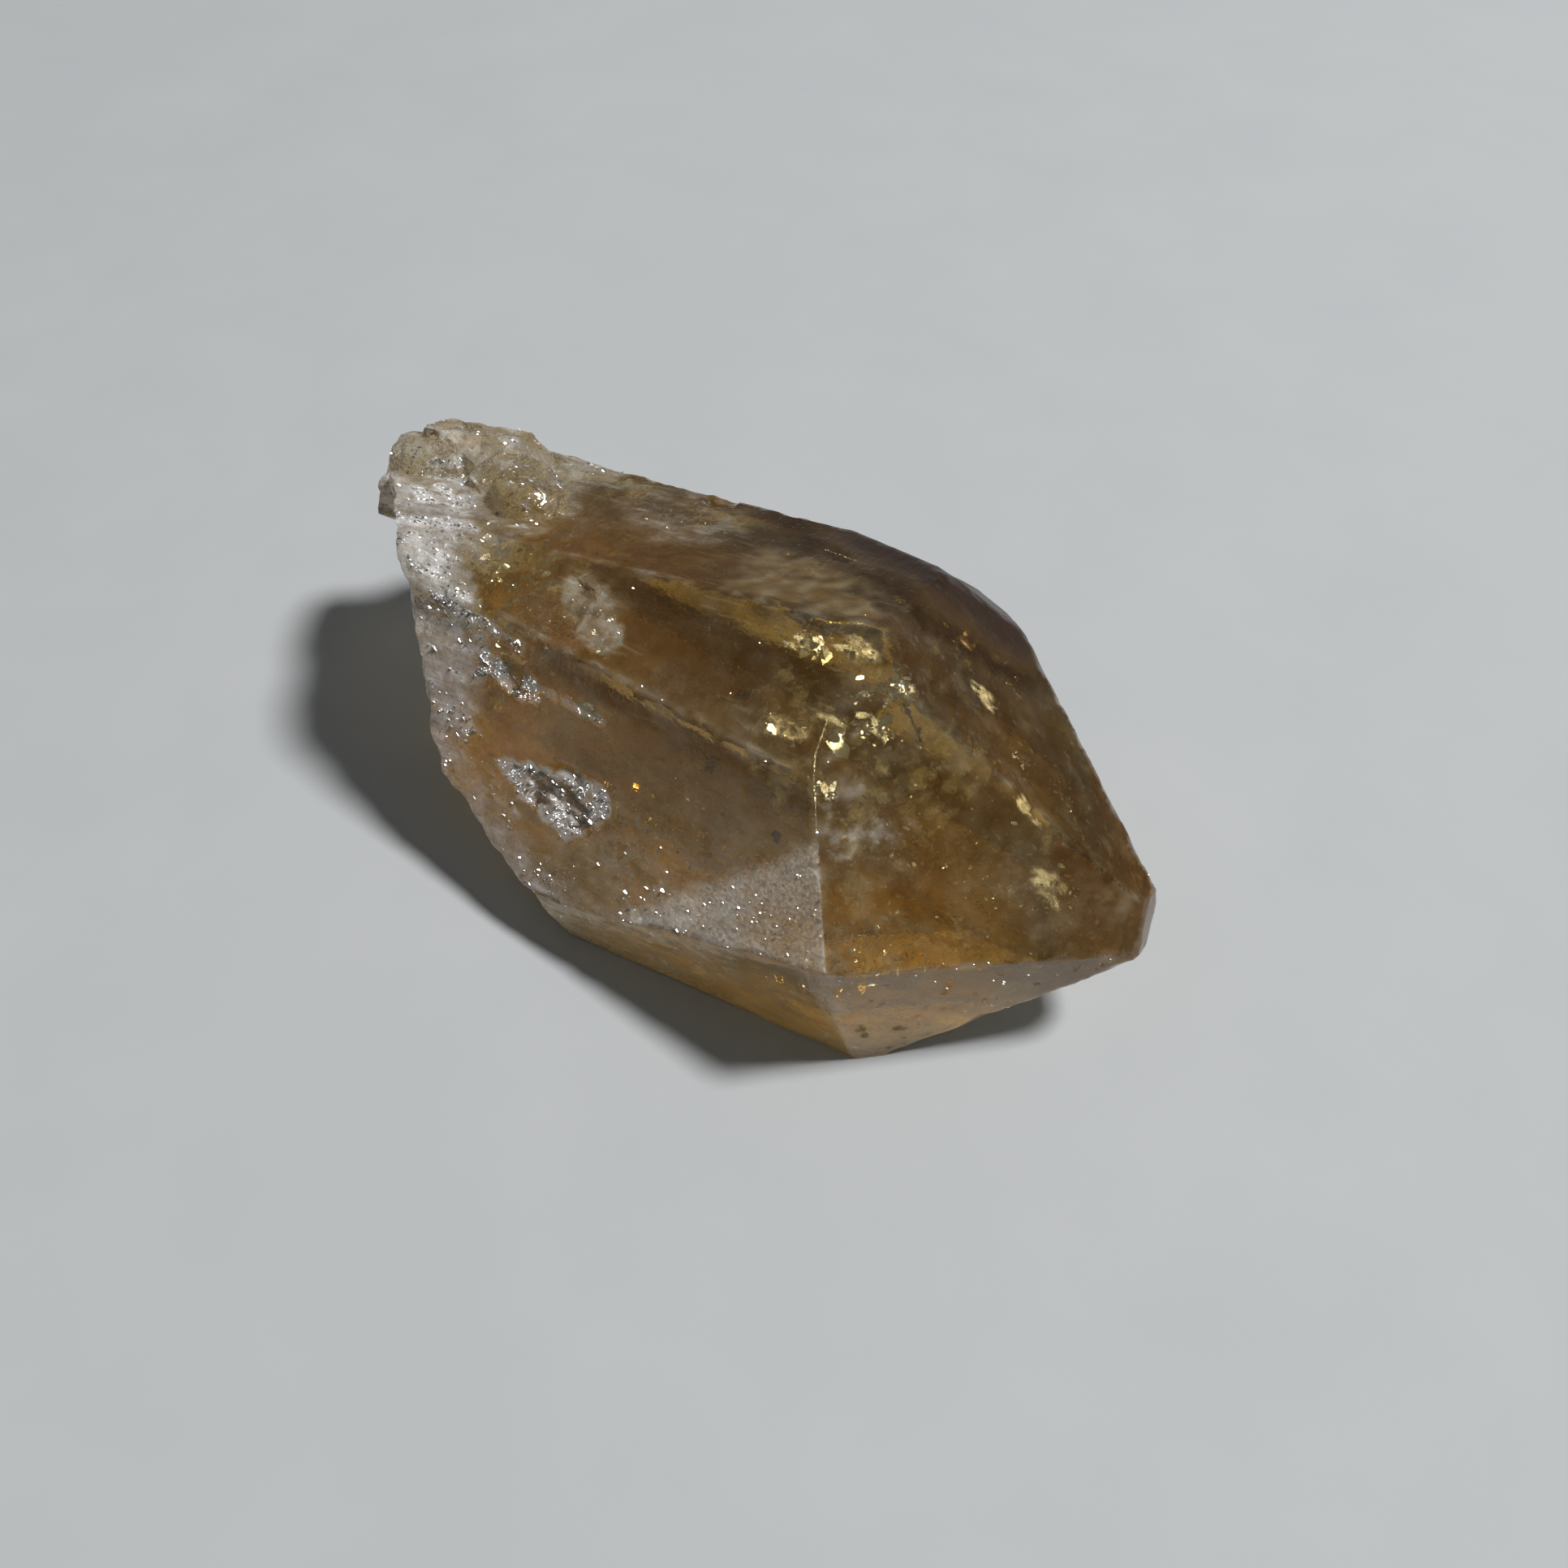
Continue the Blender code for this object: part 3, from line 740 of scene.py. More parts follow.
    def along(self, stretch):
        """Coordinates on the crystal's own axes, drawn out or squeezed."""
        node = self.nodes.new("ShaderNodeMapping")
        node.vector_type = "POINT"
        node.inputs["Rotation"].default_value = (0, math.radians(LIFT), 0)
        node.inputs["Scale"].default_value = stretch
        turn = self.nodes.new("ShaderNodeMapping")
        turn.inputs["Rotation"].default_value = (0, math.radians(LIFT), 0)
        self.links.new(self.at, turn.inputs["Vector"])
        node.inputs["Rotation"].default_value = (0, 0, 0)
        self.links.new(turn.outputs[0], node.inputs["Vector"])
        return node.outputs[0]

    def bump(self, height, strength, distance_mm, normal=None):
        node = self.nodes.new("ShaderNodeBump")
        node.inputs["Strength"].default_value = strength
        node.inputs["Distance"].default_value = distance_mm * MM
        self.links.new(height, node.inputs["Height"])
        if normal is not None:
            self.links.new(normal, node.inputs["Normal"])
        return node.outputs[0]

    def set(self, **values):
        for name, value in values.items():
            self.plug(value, self.shader.inputs[name.replace("_", " ")])


def citrine():
    t = Tree("citrine_glass")
    milk, cloud, line, crest = t.value("milk"), t.value("cloud"), t.value("line"), t.value("crest")
    frost, stain, amber = t.value("frost"), t.value("stain"), t.value("amber")
    frosty = t.ramp(t.value("frosty"), -0.03, 0.10)
    pale = t.ramp(t.value("pale"), -0.03, 0.10)
    prism = t.ramp(t.value("prism"), -0.05, 0.15)
    etched = t.ramp(t.value("etched"), -0.10, 0.25)
    under = t.ramp(t.value("under"), -0.25, 0.35)
    glassy, painted_glint = t.value("glassy"), t.value("painted_glint")
    on_axes = t.along((1.0, 1.0, 1.0))
    drawn_out = t.along((0.45, 1.0, 1.0))
    wisps = t.noise(0.9, 3.0, 0.65, at=t.along((0.7, 1.0, 1.0)))
    dust = t.noise(0.20, 1.0)
    scratches = t.ramp(t.noise(0.40, 1.0, at=t.along((0.11, 1.0, 1.0))), 0.66, 0.73)
    painted_shade_coat = t.value("painted_shade_coat")
    specks = t.ramp(dust, 0.66, 0.73)
    # haze: the share of light that scatters in the milky quartz under the face
    haze = t.math("MULTIPLY", t.value("haze"), t.ramp(wisps, 0.30, 0.72, 0.65, 1.45))
    # some of these masks are painted: the crest band and the dark coat beside it are painted shade, the glint places a
    # painted highlight
    for mask, amount in ((t.math("MULTIPLY", frosty, t.ramp(dust, 0.35, 0.65, 0.65, 1.35)), 0.32), (frost, 0.34), (pale, 0.10), (etched, 0.05), (t.math("MULTIPLY", under, t.ramp(t.noise(3.4, 3.0, 0.6, at=drawn_out), 0.36, 0.62, 0.10, 0.62)), 1.0), (line, 0.20), (stain, 0.20), (crest, 0.85), (painted_shade_coat, 0.10), (painted_glint, 0.26), (specks, 0.07), (scratches, 0.07)):
        haze = t.math("MULTIPLY_ADD", mask, amount, haze)
    through = t.math("SUBTRACT", 1.0, haze, clamp=True)
    colour = t.mix(cloud, (0.82, 0.66, 0.30), (0.88, 0.77, 0.50))
    shards = t.ramp(t.noise(0.75, 2.0, 0.6, at=t.along((0.22, 1.0, 1.0))), 0.36, 0.62)
    colour = t.mix(t.math("MULTIPLY", milk, 1.2, clamp=True), colour, t.mix(shards, (0.76, 0.67, 0.58), (0.94, 0.90, 0.86)))
    colour = t.mix(t.math("MULTIPLY", glassy, 0.75), colour, t.mix(wisps, (0.50, 0.37, 0.23), (0.85, 0.73, 0.57)))
    colour = t.mix(t.math("MULTIPLY", t.value("cotton"), 0.8), colour, (0.94, 0.91, 0.85))
    colour = t.mix(t.math("MULTIPLY", frosty, 0.8), colour, (0.94, 0.91, 0.83))
    colour = t.mix(t.math("MULTIPLY", frost, 0.85), colour, (0.90, 0.88, 0.83))
    colour = t.mix(t.math("MULTIPLY", pale, 0.7), colour, (0.90, 0.78, 0.50))
    colour = t.mix(t.math("MULTIPLY", amber, 0.65), colour, (0.64, 0.41, 0.10))
    rust = t.mix(t.value("crust"), (0.58, 0.33, 0.06), (0.82, 0.68, 0.38))
    colour = t.mix(t.math("MULTIPLY", stain, 0.85), colour, rust)
    colour = t.mix(t.math("MULTIPLY", line, 0.6), colour, (0.93, 0.90, 0.80))
    colour = t.mix(t.math("MULTIPLY", under, 0.9), colour, t.mix(cloud, (0.62, 0.41, 0.11), (0.84, 0.68, 0.34)))
    # painted shade: dark brown on the back face
    colour = t.mix(t.math("MULTIPLY", t.value("painted_back_shade"), 0.75), colour, (0.24, 0.135, 0.045))
    # painted shade: the dark brown coat along the crest
    colour = t.mix(t.ramp(painted_shade_coat, 0.0, 0.8, 0.0, 0.96), colour, t.mix(wisps, (0.105, 0.054, 0.014), (0.215, 0.120, 0.036)))
    # painted shade: near-black, hazy band along the crest
    colour = t.mix(crest, colour, (0.030, 0.012, 0.003))
    # painted highlight: silver-white colour where the glints are
    colour = t.mix(t.math("MULTIPLY", painted_glint, 0.8), colour, (0.94, 0.93, 0.91))
    rough = t.ramp(cloud, 0.20, 0.80, 0.03, 0.08)
    for mask, amount in ((milk, 0.02), (frosty, 0.22), (frost, 0.02), (line, 0.10), (stain, 0.20), (crest, 0.30), (etched, 0.07), (painted_glint, 0.10)):
        rough = t.math("MULTIPLY_ADD", mask, amount, rough)
    # relief too fine for the mesh: growth lines across the prism, broken facets, ripples
    lines = t.noise(0.42, 1.0, 0.5, at=t.along((1.0, 0.10, 0.10)))
    height = t.math("MULTIPLY", lines, t.math("MULTIPLY_ADD", prism, 0.022, 0.002))
    height = t.math("MULTIPLY_ADD", wisps, 0.030, height)
    broken = t.math("MAXIMUM", t.math("MULTIPLY", milk, 1.2, clamp=True), t.math("MAXIMUM", frost, glassy))
    height = t.math("ADD", height, t.facets(0.85, t.math("MULTIPLY", broken, 0.28), t.math("MULTIPLY", broken, 0.20), drawn_out, wisps))
    grain = t.math("MULTIPLY_ADD", frosty, 0.34, t.math("MULTIPLY_ADD", broken, 0.08, t.math("MULTIPLY_ADD", painted_glint, 0.22, 0.01)))
    lean = t.math("MULTIPLY_ADD", t.value("lean"), 1.0, t.math("MULTIPLY_ADD", frosty, 0.28, t.math("MULTIPLY", broken, 0.10)))
    height = t.math("ADD", height, t.facets(0.26, grain, lean, on_axes, wisps))
    t.set(Base_Color=colour, Roughness=rough, Transmission_Weight=through, Normal=t.bump(height, 1.0, 1.0))
    t.shader.inputs["IOR"].default_value = 1.545
    volume = t.nodes.new("ShaderNodeVolumeAbsorption")
    volume.inputs["Color"].default_value = (0.87, 0.69, 0.06, 1)
    volume.inputs["Density"].default_value = 62.0
    t.links.new(volume.outputs[0], t.out.inputs["Volume"])
    return t.material


crystal.data.materials.append(citrine())
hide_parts("citrine_point")
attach(crystal, "root")


# ---------------------------------------------------------------------------
# What is sealed inside: veils and small mirror-like cracks
# ---------------------------------------------------------------------------
def basis(normal):
    n = np.array(normal, float)
    n /= np.linalg.norm(n)
    u = np.cross(n, (0.31, 0.87, 0.12))
    u /= np.linalg.norm(u)
    return n, u, np.cross(n, u)


IOR = 1.545
WAYS_N = np.concatenate((FACE_N, [normal_of(*VALLEY[k][:2]) for k in VALLEY], [normal_of(*v[:2]) for v in FRACTURES.values()], [-TURN[2]]))
WAYS_D = np.concatenate((FACE_D, [VALLEY[k][2] for k in VALLEY], [v[2] for v in FRACTURES.values()], [AXIS_AT[2]]))
V0 = len(FACE_D)


def bent_towards(places, outside):
    """The directions inside the crystal that leave it along one outer direction."""
    best = np.full(len(places), -1.0)
    chosen = np.zeros_like(places)
    for k in np.argsort(WAYS_N @ outside):
        n = WAYS_N[k]
        c = n @ outside
        if c < 0.05:
            continue
        d = (outside + (math.sqrt(IOR * IOR - 1 + c * c) - c) * n) / IOR
        speed = WAYS_N @ d
        gap = (WAYS_D - places @ WAYS_N.T) / np.where(speed > 1e-6, speed, 1e-6)
        gap[:, speed <= 1e-6] = 1e9
        valley_gap = gap[:, V0 : V0 + 2].max(axis=1)
        gap[:, V0] = np.where(gap[:, V0] == valley_gap, valley_gap, 1e9)
        gap[:, V0 + 1] = np.where(gap[:, V0 + 1] == valley_gap, valley_gap, 1e9)
        works = (gap.argmin(axis=1) == k) * 2.0 + c
        better = works > best
        best[better] = works[better]
        chosen[better] = d
    return chosen


def flash_normal(places):
    """How a plate lies to flash in the key light as the photograph sees it."""
    half = bent_towards(places, TO_CAMERA) + bent_towards(places, TO_KEY @ TURN)
    return half / np.linalg.norm(half, axis=1)[:, None]


def veil(name, centre, normal, radius, seed, squash=0.6, curl=0.9, thick=0.03, rings=26, spokes=72, margin=0.45):
    """A thin, closed, crumpled sheet that stays inside the crystal."""
    n, u, v = basis(normal)
    angle = np.linspace(0, 2 * math.pi, spokes, endpoint=False)
    ring = np.column_stack((np.cos(angle), np.sin(angle), np.zeros(spokes)))
    reach = radius * (1 + 0.55 * noise(ring * 1.3 + seed * 3.1, 1.0, seed) + 0.25 * noise(ring * 3.1 + seed, 1.0, seed + 1))
    steps = np.linspace(0.05, 1, 24)
    direction = np.cos(angle)[:, None] * u + squash * np.sin(angle)[:, None] * v
    probe = np.array(centre) + direction[:, None, :] * (reach[:, None] * steps)[..., None]
    depth = field(probe.reshape(-1, 3)).reshape(spokes, -1)
    for k in range(spokes):
        out = np.flatnonzero(depth[k] > -(margin + 0.5 * curl))
        if len(out):
            reach[k] = max(0.25, reach[k] * steps[max(out[0] - 1, 0)])
    reach = np.minimum(reach, (np.roll(reach, 1) + np.roll(reach, -1)) / 2 + 0.4)
    top = [np.array(centre, float)[None]]
    edge = [np.zeros(1)]
    for r in range(1, rings + 1):
        s = r / rings
        top.append(np.array(centre) + direction * (reach * s)[:, None])
        edge.append(np.full(spokes, s))
    top, edge = np.concatenate(top), np.concatenate(edge)
    lift = curl * (noise(top, 3.6, seed + 2) + 0.35 * noise(top, 1.2, seed + 3) + 0.12 * noise(top, 0.5, seed + 4))
    top = top + n * lift[:, None]
    half = thick / 2 * (1 - 0.8 * edge)
    both = np.concatenate((top + n * half[:, None], top - n * half[:, None]))
    count = len(top)
    faces = []
    at = lambda r, k: 0 if r == 0 else 1 + (r - 1) * spokes + k % spokes
    for k in range(spokes):
        faces.append((0, at(1, k), at(1, k + 1)))
        faces.append((count, count + at(1, k + 1), count + at(1, k)))
        for r in range(1, rings):
            a, b, c, d = at(r, k), at(r + 1, k), at(r + 1, k + 1), at(r, k + 1)
            faces.append((a, b, c, d))
            faces.append((count + a, count + d, count + c, count + b))
        a, b = at(rings, k), at(rings, k + 1)
        faces.append((a, count + a, count + b, b))
    obj = mesh_object(name, to_world(both), faces, smooth_angle=60)
    add_values(obj.data, "edge", np.concatenate((edge, edge)))
    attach(obj, "root")
    return obj


def face_axes(face):
    n = normal_of(*PLANE[face][:2])
    u = np.array((1.0, 0, 0)) - n * n[0]
    u /= np.linalg.norm(u)
    return n, u, np.cross(n, u)


def plates(name, clusters, seed, smallest=0.06):
    """Many small flat plates, each a closed six-sided slab, as they lie in cracks.
    A cluster is (centre or patch, face, along, across, deep, count, size, scatter, lit)."""
    rng = np.random.default_rng(seed)
    places, sizes, scatters, lit = [], [], [], []
    for centre, face, along, across, deep, count, size, scatter, share in clusters:
        n, u, v = face_axes(face)
        if isinstance(centre, str):
            outline = np.array(PATCHES[centre][1])
            low, high = outline.min(axis=0), outline.max(axis=0)
            q = low + (high - low) * rng.random((count * 3, 2))
            spot = q[:, :1] * u + q[:, 1:] * v + n * PLANE[face][2]
            spot = spot[patch_distance(spot, centre) > 0.1][:count]
            spot = spot - n * (0.15 + deep * rng.random((len(spot), 1)))
        else:
            a = rng.normal(size=(count, 3)) * (along, across, deep) / 1.6
            spot = np.array(centre) + a[:, :1] * u + a[:, 1:2] * v + a[:, 2:] * n
        places.append(spot)
        sizes.append(np.maximum(size * rng.lognormal(0, 0.7, len(spot)), smallest))
        scatters.append(np.full(len(spot), scatter))
        lit.append(rng.random(len(spot)) < share)
    places, sizes = np.concatenate(places), np.concatenate(sizes)
    scatters, lit = np.concatenate(scatters), np.concatenate(lit)
    keep = field(places) < -(0.07 + sizes * 0.30)
    places, sizes, scatters, lit = places[keep], sizes[keep], scatters[keep], lit[keep]
    axes = flash_normal(places)
    axes = axes + np.where(lit, 0.05, scatters)[:, None] * rng.normal(size=(len(axes), 3))
    axes /= np.linalg.norm(axes, axis=1)[:, None]
    u = np.cross(axes, rng.normal(size=(len(axes), 3)))
    u /= np.linalg.norm(u, axis=1)[:, None]
    v = np.cross(axes, u)
    sides = 6
    half = (0.006 + 0.012 * sizes)[:, None] * axes
    rim = []
    for k in range(sides):
        angle = 2 * math.pi * k / sides
        long = 0.5 * sizes * (0.75 + 0.5 * rng.random(len(sizes)))
        rim.append(places + u * (long * math.cos(angle))[:, None] + v * (0.55 * long * math.sin(angle))[:, None])
    verts = np.stack([r + half for r in rim] + [r - half for r in rim], axis=1)
    pattern = [(0, k, k + 1) for k in range(1, sides - 1)] + [(sides, sides + k + 1, sides + k) for k in range(1, sides - 1)]
    for k in range(sides):
        j = (k + 1) % sides
        pattern += [(k, sides + k, sides + j), (k, sides + j, j)]
    pattern = np.array(pattern)
    faces = (np.arange(len(places))[:, None, None] * (2 * sides) + pattern).reshape(-1, 3)
    obj = mesh_object(name, to_world(verts.reshape(-1, 3)), faces)
    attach(obj, "root")
    log(name, "plates", len(places))
    return obj


def veil_material(name, colour, most, size, rough=0.5, metal=0.0, fade=0.75, thin=(0.45, 0.70), drawn=1.0):
    t = Tree(name)
    wisps = t.noise(size, 4.0, 0.70, at=t.along((drawn, 1.0, 1.0)))
    open_at = t.ramp(t.value("edge"), fade, 1.0, 1.0, 0.0)
    alpha = t.math("MULTIPLY", t.ramp(wisps, thin[0], thin[1], 0.0, most), open_at, clamp=True)
    tint = t.mix(t.ramp(wisps, 0.45, 0.65), tuple(c * 0.72 for c in colour), colour)
    t.set(Base_Color=tint, Roughness=rough, Alpha=alpha)
    t.shader.inputs["Metallic"].default_value = metal
    t.shader.inputs["IOR"].default_value = 1.3
    return t.material


def flake_material(name, colour, metal, rough):
    t = Tree(name)
    tint = t.mix(t.ramp(t.noise(1.3, 2.0), 0.35, 0.65), colour, tuple(c * 0.8 for c in colour))
    t.set(Base_Color=tint, Roughness=t.ramp(t.noise(0.8, 2.0), 0.3, 0.7, rough * 0.6, rough * 1.5))
    t.shader.inputs["Metallic"].default_value = metal
    return t.material


pale_veil = veil_material("veil_pale", (0.95, 0.91, 0.80), 0.40, 1.6)
glint_sheet = veil_material("crack_sheet", (1.0, 0.99, 0.96), 0.55, 0.60, rough=0.33, metal=0.95, fade=0.15, thin=(0.38, 0.66), drawn=0.40)
VEILS = (
    ("veil_front", (10.0, 10.0, -2.5), (0.50, 0.80, -0.2), 7.5, 101, pale_veil),
    ("veil_deep", (14.5, 6.0, 1.0), (0.75, 0.55, 0.25), 7.5, 102, pale_veil),
    ("veil_low", (-3.0, 7.5, 5.0), (-0.1, 0.85, 0.45), 8.0, 104, pale_veil),
    ("veil_base", (-13.0, 6.0, -3.0), (-0.5, 0.8, -0.2), 8.0, 105, pale_veil),
    ("veil_back", (6.0, -5.5, 2.0), (0.3, -0.9, 0.2), 9.0, 107, pale_veil),
)
for name, centre, normal, radius, seed, material in VEILS:
    sheet = veil(name, centre, normal, radius, seed)
    sheet.data.materials.append(material)
# healed cracks that lie so as to flash: centre, radius, how narrow, bulge
CRACKS = (
    ("crack_a", (7.7, 11.1, -7.6), 1.30, 0.55, 0.05),
    ("crack_b", (11.0, 10.6, -8.4), 2.00, 0.45, 0.14),
    ("crack_c", (9.2, 12.0, -2.5), 1.50, 0.60, 0.12),
    ("crack_d", (12.4, 12.3, -3.0), 0.80, 0.60, 0.04),
    ("crack_e", (13.9, 11.7, -4.6), 1.00, 0.50, 0.06),
    ("crack_f", (12.8, 12.4, -0.1), 0.80, 0.65, 0.05),
    ("crack_g", (14.8, 11.0, -7.2), 0.80, 0.60, 0.05),
    ("crack_h", (24.9, 2.5, 1.0), 1.80, 0.65, 0.20),
    ("crack_i", (14.6, 4.4, -11.2), 0.80, 0.60, 0.04),
    ("crack_j", (17.4, 5.0, -8.4), 1.50, 0.50, 0.18),
    ("crack_k", (22.6, 5.3, -3.0), 1.30, 0.32, 0.06),
    ("crack_l", (11.2, 10.9, -3.9), 1.10, 0.40, 0.12),
)
for k, (name, centre, radius, squash, curl) in enumerate(CRACKS):
    normal = flash_normal(np.array(centre)[None])[0]
    sheet = veil(name, centre, normal, radius, 121 + k, squash=squash, curl=curl, thick=0.02, rings=9, spokes=32, margin=0.12)
    sheet.data.materials.append(glint_sheet)

gold = plates(
    "glints_gold",
    (
        ((7.9, 11.1, -7.7), "prism_front", 1.3, 0.5, 0.4, 30, 0.40, 0.20, 0.35),
        ((11.3, 11.0, -8.0), "prism_front", 2.0, 0.7, 0.5, 40, 0.16, 0.35, 0.12),
        ((14.8, 11.2, -7.3), "prism_front", 0.8, 0.6, 0.4, 50, 0.24, 0.35, 0.35),
        ((13.1, 11.7, -6.1), "prism_front", 0.8, 0.6, 0.4, 36, 0.18, 0.35, 0.30),
        ((9.2, 12.0, -2.5), "prism_front", 1.5, 0.7, 0.4, 70, 0.18, 0.32, 0.22),
        ((12.4, 12.4, -3.1), "rhomb_front", 0.9, 0.4, 0.3, 44, 0.26, 0.28, 0.40),
        ((13.9, 11.8, -4.5), "rhomb_front", 1.2, 0.5, 0.3, 60, 0.26, 0.28, 0.40),
        ((16.3, 10.1, -4.5), "rhomb_front", 0.4, 0.3, 0.3, 14, 0.18, 0.30, 0.35),
        ((12.8, 12.6, -0.1), "rhomb_front", 0.9, 0.4, 0.3, 46, 0.24, 0.28, 0.45),
        ((16.5, 9.3, 1.2), "rhomb_front", 5.0, 3.8, 0.8, 380, 0.10, 0.55, 0.03),
        ((25.0, 2.7, 1.2), "rhomb_front", 1.5, 1.1, 0.6, 90, 0.12, 0.40, 0.12),
        ((22.0, 5.3, 2.6), "rhomb_front", 2.6, 1.6, 0.8, 130, 0.12, 0.50, 0.08),
        ((23.6, 2.0, -4.0), "rhomb_upper", 1.8, 0.9, 0.6, 90, 0.13, 0.45, 0.08),
        ((20.8, 4.4, -5.4), "rhomb_upper", 0.7, 0.5, 0.4, 26, 0.18, 0.40, 0.2),
        ((17.0, 8.8, 7.6), "rhomb_front", 2.4, 1.4, 0.7, 110, 0.12, 0.45, 0.08),
        ((15.0, 7.6, 11.5), "rhomb_lower", 5.5, 2.0, 0.8, 260, 0.12, 0.50, 0.08),
        ((-0.2, 10.2, 5.4), "valley_upper", 1.2, 0.6, 0.6, 26, 0.20, 0.30, 0.25),
        ((6.0, -7.0, -7.0), "prism_back_upper", 7.0, 3.0, 1.2, 240, 0.20, 0.60, 0.1),
    ),
    201,
)
gold.data.materials.append(flake_material("glint_gold", (1.0, 0.98, 0.90), 0.90, 0.13))
pale = plates(
    "glints_pale",
    (
        ("flake", "valley_upper", 0, 0, 0.35, 260, 0.42, 0.16, 0.55),
        ("streak", "valley_upper", 0, 0, 0.35, 90, 0.30, 0.22, 0.40),
        ("frosted", "valley_upper", 0, 0, 0.9, 160, 0.26, 0.30, 0.22),
        ("crescent", "prism_front", 0, 0, 0.9, 150, 0.24, 0.40, 0.10),
        ((-17.5, 10.5, -6.0), "prism_front", 5.0, 3.4, 1.2, 620, 0.22, 0.40, 0.12),
        ((-16.0, 11.0, -1.0), "valley_upper", 4.0, 2.0, 1.0, 360, 0.20, 0.40, 0.12),
        ((-25.0, 4.0, -11.8), "prism_upper", 3.6, 3.0, 1.4, 420, 0.22, 0.40, 0.14),
        ((-13.0, 10.0, 7.0), "valley_upper", 3.5, 3.0, 0.8, 220, 0.16, 0.45, 0.10),
        ((-7.7, 3.8, -13.2), "prism_upper", 4.0, 2.6, 0.8, 260, 0.16, 0.45, 0.12),
        ((2.0, 10.0, 6.5), "valley_upper", 7.0, 3.4, 0.6, 420, 0.11, 0.50, 0.10),
        ((2.0, 7.0, 12.0), "prism_lower", 8.0, 2.5, 0.6, 240, 0.12, 0.50, 0.10),
        ((0.0, -7.0, 3.0), "prism_back", 9.0, 4.0, 1.0, 320, 0.20, 0.70, 0.1),
    ),
    202,
)
pale.data.materials.append(flake_material("glint_pale", (0.98, 0.97, 0.95), 0.88, 0.12))


def marks(name, lines, spots, seed, flash=False):
    """Strings of tiny overlapping plates just under the surface: hairline cracks
    (points, width) and grains of other minerals (place, size)."""
    rng = np.random.default_rng(seed)
    places, sizes = [], []
    for points, width in lines:
        points = np.array(points, float)
        for a, b in zip(points[:-1], points[1:]):
            count = max(2, int(np.linalg.norm(b - a) / (0.55 * width)))
            step = (np.arange(count) + 0.5)[:, None] / count
            places.append(a + (b - a) * step + rng.normal(size=(count, 3)) * 0.16 * width)
            sizes.append(width * rng.uniform(0.6, 1.5, count))
    for place, size in spots:
        places.append(np.array(place) + rng.normal(size=(7, 3)) * 0.24 * size)
        sizes.append(size * rng.uniform(0.4, 0.9, 7))
    places, sizes = np.concatenate(places), np.concatenate(sizes)
    values = places @ FACE_N.T - FACE_D
    axes = FACE_N[values.argmax(axis=1)]
    in_valley = np.minimum(plane_value(places, "valley_upper"), plane_value(places, "valley_lower")) > values.max(axis=1)
    axes = np.where(in_valley[:, None], normal_of(*VALLEY["valley_upper"][:2]), axes)
    for _ in range(4):
        places = places - axes * (field(places) + 0.05)[:, None]
    kept = to_world(places)[:, 2] > 0.6
    places, sizes, axes = places[kept], sizes[kept], axes[kept]
    if flash:
        axes = flash_normal(places)
    axes = axes + 0.08 * rng.normal(size=axes.shape)
    axes /= np.linalg.norm(axes, axis=1)[:, None]
    u = np.cross(axes, rng.normal(size=axes.shape))
    u /= np.linalg.norm(u, axis=1)[:, None]
    v = np.cross(axes, u)
    rim = []
    for k in range(7):
        angle = 2 * math.pi * k / 7
        long = 0.5 * sizes * (0.7 + 0.6 * rng.random(len(sizes)))
        rim.append(places + u * (long * math.cos(angle))[:, None] + v * (long * math.sin(angle))[:, None])
    verts = np.stack([r + 0.012 * axes for r in rim] + [r - 0.012 * axes for r in rim], axis=1)
    pattern = [(0, k, k + 1) for k in range(1, 6)] + [(7, 7 + k + 1, 7 + k) for k in range(1, 6)]
    for k in range(7):
        j = (k + 1) % 7
        pattern += [(k, 7 + k, 7 + j), (k, 7 + j, j)]
    faces = (np.arange(len(places))[:, None, None] * 14 + np.array(pattern)).reshape(-1, 3)
    obj = mesh_object(name, to_world(verts.reshape(-1, 3)), faces)
    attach(obj, "root")
    return obj


